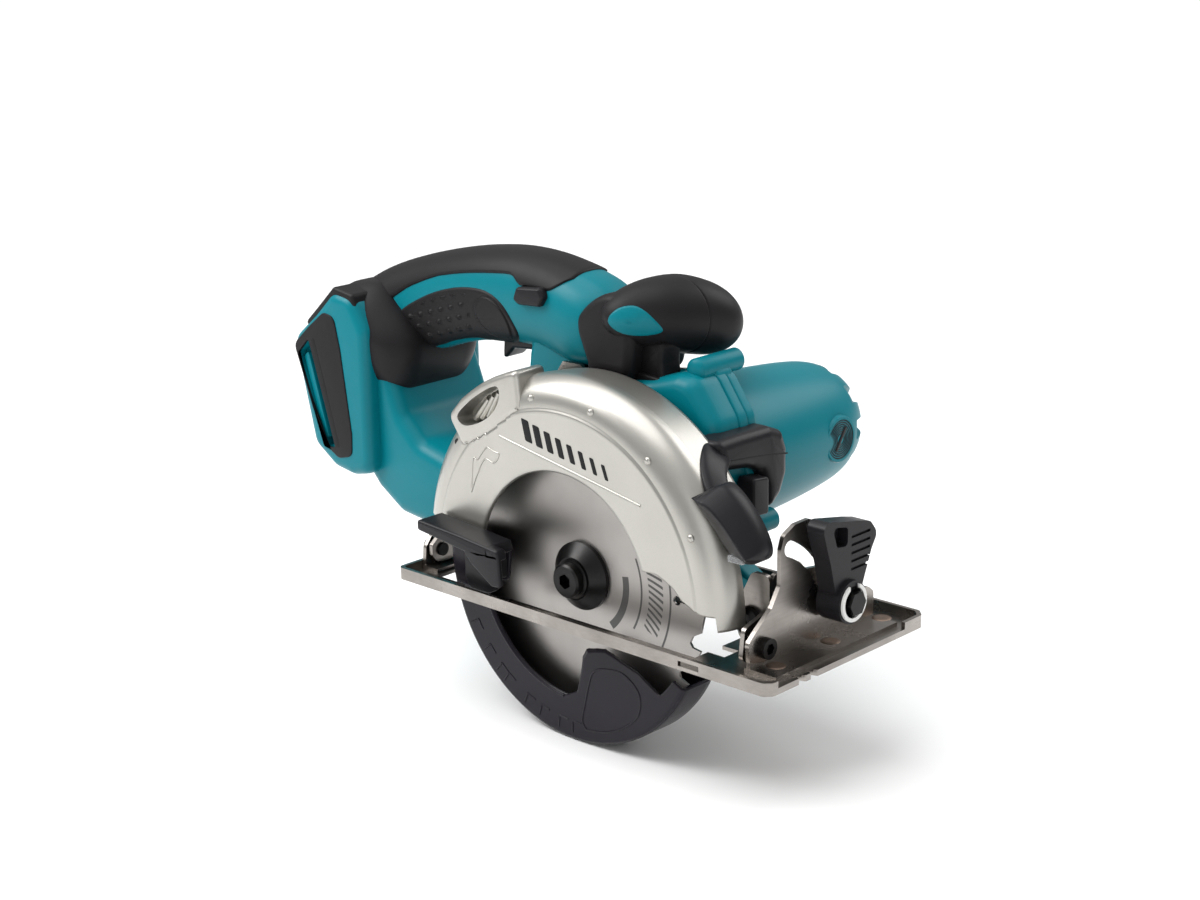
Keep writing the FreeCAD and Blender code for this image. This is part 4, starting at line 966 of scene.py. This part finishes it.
def gripCover():
    # soft cover over the back: from one lower edge over the top to the other, its rim rounded down
    nearest, _, tall, off = gripStation(np.array(grip["coverLow"], float))
    edgeAngle = np.arcsin(signedPower(np.clip(off / tall, -0.98, 0.995), grip["power"] / 2))
    u = np.linspace(0.0, nearest[-1] / (len(gripRun) - 1), 170)
    order = np.argsort(nearest)
    edge = np.interp(u * (len(gripRun) - 1), nearest[order], edgeAngle[order])
    kernel = np.hanning(9) / np.hanning(9).sum()
    edge = np.convolve(np.pad(edge, 4, "edge"), kernel, "valid")
    t = np.linspace(-1, 1, 91)
    v = math.pi / 2 + t[None, :] * (math.pi / 2 - edge[:, None])
    rim = np.clip((1 - np.abs(t)) / 0.05, 0, 1)[None, :] * np.clip((1 - u / u[-1]) / 0.012, 0, 1)[:, None]
    lift = -0.6 + (grip["coverRaise"] + 0.6) * np.sqrt(1 - (1 - rim) ** 2)
    points = gripSurface(np.broadcast_to(u[:, None], v.shape), v, lift)
    piece("grip_soft_cover", [sheetOf(points)], "softGrip", "housing", ["grip_cover"], wall=0.8,
        inside=(-90, 38, 115), sharp=60)


def sidePad(side, name, node):
    # a dimpled pad: rings drawn in from its outline, laid on the flank and crowned at the rim
    outline = smoothLoop(grip["pad"], 240)
    share = np.linspace(1, 0, 90)[:, None, None]
    x = np.clip(outline[:, 0], -128, -72)
    spine = np.stack([x, 112 + (x + 95) * 0.10], -1)
    flat = spine + (outline - spine) * share
    depth = np.linalg.norm(flat - outline, axis=2)
    rim = np.sqrt(1 - (1 - np.clip(depth / 1.6, 0, 1)) ** 2)
    lift = -0.5 + (grip["padRaise"] + 0.5) * rim
    # dimples in slanted rows, and an oval pad at the front with a groove round it
    a = (flat[..., 0] + 95) * 0.96 + (flat[..., 1] - 112) * 0.28
    b = (flat[..., 1] - 112) * 0.96 - (flat[..., 0] + 95) * 0.28
    row = np.round(b / 5.2)
    da = a - 7.0 * np.round((a - 3.5 * (row % 2)) / 7.0) - 3.5 * (row % 2)
    db = b - 5.2 * row
    near = np.hypot(da, db)
    zone = (flat[..., 0] > -128) & (flat[..., 0] < -88) & (depth > 3.0)
    lift = lift + np.where(zone, 0.95 * np.exp(-(near / 1.0) ** 4), 0)
    oval = np.hypot((flat[..., 0] + 74 + (flat[..., 1] - 114) * 0.35) / 9.5, (flat[..., 1] - 114.0) / 9.5)
    lift = lift + 0.35 * (oval < 0.98) - 0.35 * np.exp(-((oval - 1.03) / 0.05) ** 2)
    half = gripSide(flat, lift)
    points = np.stack([flat[..., 0], grip["y"] + side * half, flat[..., 1]], -1)
    piece(name, [sheetOf(points, closeColumns=True)], "softGrip", "housing", [node], wall=0.5,
        inside=(-95, 38, 112), sharp=60)


mount = {
    "outline": [(-191, 92.5), (-173, 107), (-160, 119), (-147, 117), (-138, 102), (-138, 34), (-152.5, 31),
        (-165, 33), (-179, 42)],
    "y": (0.6, 75.4), "depth": 4.4,
    "panel": [(-188.5, 90), (-178, 99), (-166, 108), (-158.5, 107), (-155, 92), (-149.5, 52), (-150, 41),
        (-160, 38.5), (-168, 43), (-177, 60)],
    "rail": [(-186, 86), (-177.5, 94), (-161.5, 43.5), (-170, 42.5)],
    "strip": [(-184, 84.5), (-180.6, 87), (-168.6, 46.5), (-171.8, 46.2)],
    "groove": [(-176.5, 93), (-173.4, 95.5), (-158.4, 44), (-161.8, 43.4)],
    "cap": [(-182.5, 100.6), (-173.4, 108.6), (-160.2, 120.6), (-146.8, 118.4), (-144, 108), (-162, 106),
        (-175, 97)],
    "capY": (2.2, 73.8),
    # first and last y of these at the near and the far side
    "panelY": ((0.0, 1.4), (74.6, 76.0)), "stripY": ((2.2, 4.6), (69.0, 73.8)),
    "grooveY": ((-0.05, 1.0915), (74.9085, 76.05)),
}


def batteryMount():
    rail = rounded(mount["rail"], 1.2, 90)
    wider = drawnIn(rail, -0.1)
    block = pillow(rounded(mount["outline"], 9), *mount["y"], edge=5.0,
        pockets=[("low", wider, mount["depth"]), ("high", wider, mount["depth"])])
    panel = rounded(mount["panel"], 5)
    panels = [pillow(panel, *y, edge=0.5, pockets=[("through", rail, 0)]) for y in mount["panelY"]]
    panels.append(plate(mount["cap"], 2.5, *mount["capY"], 1.6))
    strips = [plate(mount["strip"], 0.8, *y, 0.4, count=60) for y in mount["stripY"]]
    # dark strips along the edge of the rail opening: painted shade in the grooves
    grooves = [plate(mount["groove"], 0.8, *y, 0.1, count=60) for y in mount["grooveY"]]
    return block, panels, strips, grooves


arm = {
    # the lower arm, and the block that joins it to the grip at the front
    "outline": [(-155, 112), (-139, 104), (-132, 84), (-124, 64), (-112, 53), (-96, 49), (-62, 50),
        (-62, 13), (-103, 12.5), (-128, 15.5), (-143, 25), (-155, 38)],
    "y": (8.0, 68.0),
    "front": [(-70, 50), (-70, 13), (-40, 11), (-19, 24), (-24, 36), (-24, 98), (-6, 100), (2, 104),
        (0, 114), (-26, 124), (-52, 120), (-57, 100), (-62, 60)],
    "frontY": (25.2, 64.0),
}
lobe = {
    "outline": [(-174, 110), (-169.5, 101), (-162, 90), (-156, 80.5), (-149, 74), (-139, 70.6),
        (-129, 73.4), (-123, 81), (-120, 90), (-122, 99), (-132, 110), (-146, 120.4), (-160, 121.2),
        (-170, 117)],
    "centre": (-144.0, 97.0), "rim": 21.0, "swell": 17.0, "middle": 34.5,
}


def rubberLobe():
    # the soft root of the grip, swelling over the battery mount and down onto the arm
    line = smoothLoop(lobe["outline"], 240)
    centre = np.array(lobe["centre"])
    rings = [inPlane("xz", centre + (line - centre) * math.cos(a) ** 0.8,
        lobe["rim"] - lobe["swell"] * math.sin(a)) for a in quarter(16)]
    near = np.stack(rings[::-1])
    far = near.copy()[::-1]
    far[..., 1] = 2 * lobe["middle"] - far[..., 1]
    return sheetOf(np.concatenate([near, far]), closeColumns=True, ends=True)


def mainHandle():
    block, panels, strips, grooves = batteryMount()
    lower = plate(arm["outline"], 10, *arm["y"], 7.0, count=280)
    front = plate(arm["front"], 6, *arm["frontY"], 5.0, count=260)
    piece("handle_body", [gripTube(), block, lower, front], "tealPlastic", "housing",
        ["handle_shell_near", "handle_shell_far"], sharp=40)
    piece("mount_panels", panels, "softGrip", "housing")
    piece("mount_strips", strips, "tealPlastic", "housing")
    # the groove strips are painted shade of the gap beside the rail
    piece("mount_groove_painted_shade", grooves, "inkAndPaintedShade", "housing")
    piece("grip_root", [rubberLobe()], "softGrip", "housing", sharp=60)
    gripCover()
    sidePad(-1, "grip_pad_near", "side_pad_near")
    sidePad(1, "grip_pad_far", "side_pad_far")
    rear = plate([(-186, 84), (-181, 88), (-170, 48), (-175, 46)], 1.5, 14.5, 61.5, 0.8, count=80)
    piece("terminal_face", [rear], "blackPlastic", "housing", ["battery_terminal_block"])


controls = {
    "tab": [(-57.5, 125.6), (-55, 131.4), (-41, 132.6), (-38.4, 128.6), (-41, 124.2), (-54, 123.6)],
    "tabY": ((17.5, 24.5), (51.5, 58.5)),
    "bar": [(-51, 125.5), (-45, 125.5), (-45, 130.5), (-51, 130.5)], "barY": (24, 52),
    "trigger": [(-79, 92), (-72, 99), (-60, 100), (-50, 97), (-46.5, 101), (-48, 108), (-60, 109),
        (-78, 104)],
    "triggerY": (31.2, 44.8),
}


def triggerAndLockOff():
    chunks = [plate(controls["tab"], 2, *y, 1.6, count=90) for y in controls["tabY"]]
    chunks.append(plate(controls["bar"], 1, *controls["barY"], 0.5, count=60))
    piece("lock_off_button", chunks, "blackPlastic", "lock_off", ["lock_off_lever"])
    blade = plate(controls["trigger"], 3, *controls["triggerY"], 2.2)
    piece("trigger_body", [blade], "blackPlastic", "trigger", ["trigger"])


# front grip

knob = {
    "ends": (15.4, 72.6), "split": 46.0,
    # y, centre x, centre z, half width and half height
    "stations": [(15.4, 2.6, 125.5, 13.5, 11.0), (20, 4.5, 125.6, 14.8, 12.2), (28, 7.8, 125.6, 16.9, 13.9),
        (38, 10.6, 125, 18.7, 15.9), (48, 13.2, 123.8, 19.2, 17.1), (58, 15.8, 121.4, 19.0, 16.9),
        (64, 17.5, 120.2, 18.4, 16.4), (69, 18.8, 119.4, 17.6, 15.8), (72.6, 19.4, 119, 17, 15.4)],
    "neck": [(2, 96), (22.2, 97), (21, 107), (22, 116), (2, 116)],
    "flare": [(-1, 96.5), (25.5, 97.2), (22.6, 101), (-1, 103)],
    "sleeve": [(-13.5, 98), (-15.5, 104), (-18.2, 110.5), (-20.6, 117.5), (-19.2, 124.5), (-9.5, 132.4),
        (0, 135), (8, 130), (11, 118), (10, 106), (7, 99), (-3, 96.6)],
    "sleeveY": (18.6, 57.4),
    "inlay": [(2.0, 124), (3.0, 127.6), (7.0, 131.0), (12.5, 132.0), (17.5, 129.6), (21.4, 125.0),
        (22.4, 121.4), (19.0, 119.6), (12, 119.0), (6, 120.4)],
    "inlayCentre": (12.0, 125.2),
}
knobRun = smoothLine(knob["stations"], 240)


def knobSize(y):
    # centre and half sizes at y, rounded off towards both ends
    x, z, wide, tall = [np.interp(y, knobRun[:, 0], knobRun[:, k]) for k in (1, 2, 3, 4)]
    low, high = knob["ends"]
    q = np.clip(np.abs((y - (low + high) / 2) / ((high - low) / 2)), 0, 1)
    end = np.sqrt(np.maximum(1 - q ** 4.2, 0))
    return x, z, wide * end, tall * end


def knobPart(side):
    # the ovals on one side of the seam, drawn in a little where they meet it
    low, high = knob["ends"]
    y = (low + high) / 2 - (high - low) / 2 * np.cos(np.linspace(0.02, math.pi - 0.02, 150))
    seam = knob["split"]
    y = np.sort(np.concatenate([y[(y - seam) * side > 0.9], seam + side * np.linspace(0, 0.85, 6)]))
    x, z, wide, tall = knobSize(y)
    off = np.clip(1 - np.abs(y - seam) / 0.85, 0, 1)
    sink = 0.5 * (1 - np.sqrt(1 - off ** 2))
    a = circle(120)[None, :]
    points = np.stack([x[:, None] + (wide - sink)[:, None] * np.cos(a), y[:, None] + 0 * a,
        z[:, None] + (tall - sink)[:, None] * np.sin(a)], -1)
    return sheetOf(points, closeColumns=True, ends=True)


def frontGrip():
    neck = plate(knob["neck"], 3, 27, 40, 2.4, count=120)
    flare = plate(knob["flare"], 1.2, 25.5, 42, 1.2, count=90)
    sleeve = pillow(smoothLoop(knob["sleeve"]), *knob["sleeveY"], edge=4.0)
    piece("front_grip_near", [knobPart(-1), neck, flare, sleeve], "softGrip", "housing",
        ["front_grip_near_part"], sharp=45)
    piece("front_grip_far", [knobPart(1)], "softGrip", "housing", ["front_grip_far_part"], sharp=45)
    # oval inlay: rings in side view, laid on the knob where a line along Y first meets it
    line = smoothLoop(knob["inlay"], 140)
    centre = np.array(knob["inlayCentre"])
    share = np.linspace(1, 0, 26)
    flat = centre + (line - centre)[None] * share[:, None, None]
    steps = np.linspace(knob["ends"][0], 45, 500)
    x, z, wide, tall = knobSize(steps)
    acrossX = (flat[..., 0, None] - x) / np.maximum(wide, 0.01)
    acrossZ = (flat[..., 1, None] - z) / np.maximum(tall, 0.01)
    level = steps[np.argmax(acrossX ** 2 + acrossZ ** 2 <= 1.0, axis=-1)]
    rim = np.sqrt(1 - (1 - np.clip((1 - share) / 0.12, 0, 1)) ** 2)[:, None]
    points = np.stack([flat[..., 0], level + 0.3 - 0.9 * rim, flat[..., 1]], -1)
    piece("front_grip_inlay", [sheetOf(points, closeColumns=True)], "tealPlastic", "housing",
        ["grip_insert"], wall=0.5, inside=(10, 46, 124), sharp=60)


# base

weld = {"x": 105, "places": (-1.0, 34.0, 69.0),
    "profile": [(4.2, 3.35), (3.9, 3.55), (2.6, 3.7), (1.2, 3.62), (0.2, 3.6)]}


def weldSpots():
    # brown spots on the foot of the front plate, each turned from a profile and tipped upright
    spots = []
    for y in weld["places"]:
        points, faces = lathe(weld["profile"], (weld["x"], 0, 0), count=36)
        spots.append((np.stack([points[:, 0], y + points[:, 2], points[:, 1]], -1), faces))
    piece("weld_spots", spots, "weldBrown", "base")


nodeFinish = {
    "bladeSteel": ["blade"],
    "darkSteel": ["inner_flange", "outer_flange", "blade_bolt", "armature_core", "carbon_brushes",
        "guard_lever_screw", "bevel_pivot_screws", "depth_pivot_pin", "bevel_clamp_screw",
        "depth_clamp_bolt", "housing_screws"],
    "machinedSteel": ["spindle", "spindle_gear", "idler_gear", "idler_pin", "motor_pinion",
        "armature_shaft", "motor_bearings", "spindle_bearings", "guard_spring", "guard_snap_ring",
        "trigger_pin"],
    "copper": ["commutator", "brush_holders", "battery_contacts"],
    "castMetal": ["bearing_box"],
    "platedSteel": ["base_plate", "bevel_sector", "rear_bracket", "tilt_bracket", "depth_arc",
        "motor_stator"],
    "blackPlastic": ["motor_fan", "bevel_lever", "depth_lever", "switch_body"],
    "whitePlastic": ["lever_retaining_ring"],
    "clearLens": ["lamp_lens"],
}


def dressNodes():
    for finish, names in nodeFinish.items():
        for name in names:
            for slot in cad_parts[name].material_slots:
                slot.material = finishes[finish]


def makeFloor():
    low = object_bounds()[0][2]
    size = light["floorSize"]
    mesh = bpy.data.meshes.new("floor")
    corners = [(-size, -size, low), (size, -size, low), (size, size, low), (-size, size, low)]
    mesh.from_pydata(corners, [], [(0, 1, 2, 3)])
    ground = bpy.data.objects.new("floor", mesh)
    mesh.materials.append(floorPaint())
    bpy.context.scene.collection.objects.link(ground)


def makeSky():
    # an even white sky, darker towards the level of the object, and a wide sun
    world = bpy.data.worlds.new("studio")
    world.use_nodes = True
    tree = world.node_tree
    place = tree.nodes.new("ShaderNodeTexCoord")
    axes = tree.nodes.new("ShaderNodeSeparateXYZ")
    ramp = tree.nodes.new("ShaderNodeValToRGB")
    for stop, share in zip(ramp.color_ramp.elements, (light["horizon"], light["zenith"])):
        stop.color = (share, share, share, 1)
    tree.links.new(place.outputs["Generated"], axes.inputs["Vector"])
    tree.links.new(axes.outputs["Z"], ramp.inputs["Fac"])
    tree.links.new(ramp.outputs["Color"], tree.nodes["Background"].inputs["Color"])
    bpy.context.scene.world = world
    bpy.context.scene.view_settings.view_transform = "Standard"
    strength, angle, source = light["sun"]
    sun = bpy.data.lights.new("sun", "SUN")
    sun.energy = strength
    sun.angle = math.radians(angle)
    holder = bpy.data.objects.new("sun", sun)
    holder.rotation_euler = (-Vector(source)).to_track_quat("-Z", "Y").to_euler()
    bpy.context.scene.collection.objects.link(holder)


placeCamera()
makeFinishes()
print("finishes made:", len(finishes))
guardShell()
guardBack()
guardPocket()
guardDetails()
lowerGuard()
guardLever()
print("guards made")
motorBarrel()
brushCaps()
gearCase()
frontCover()
lampBeak()
lockButton()
print("motor and gear case made")
mainHandle()
triggerAndLockOff()
frontGrip()
print("handles made")
weldSpots()
dressNodes()
makeFloor()
makeSky()
for name in ("key", "fill", "rim"):
    placeLight(name)
print("floor and light made")
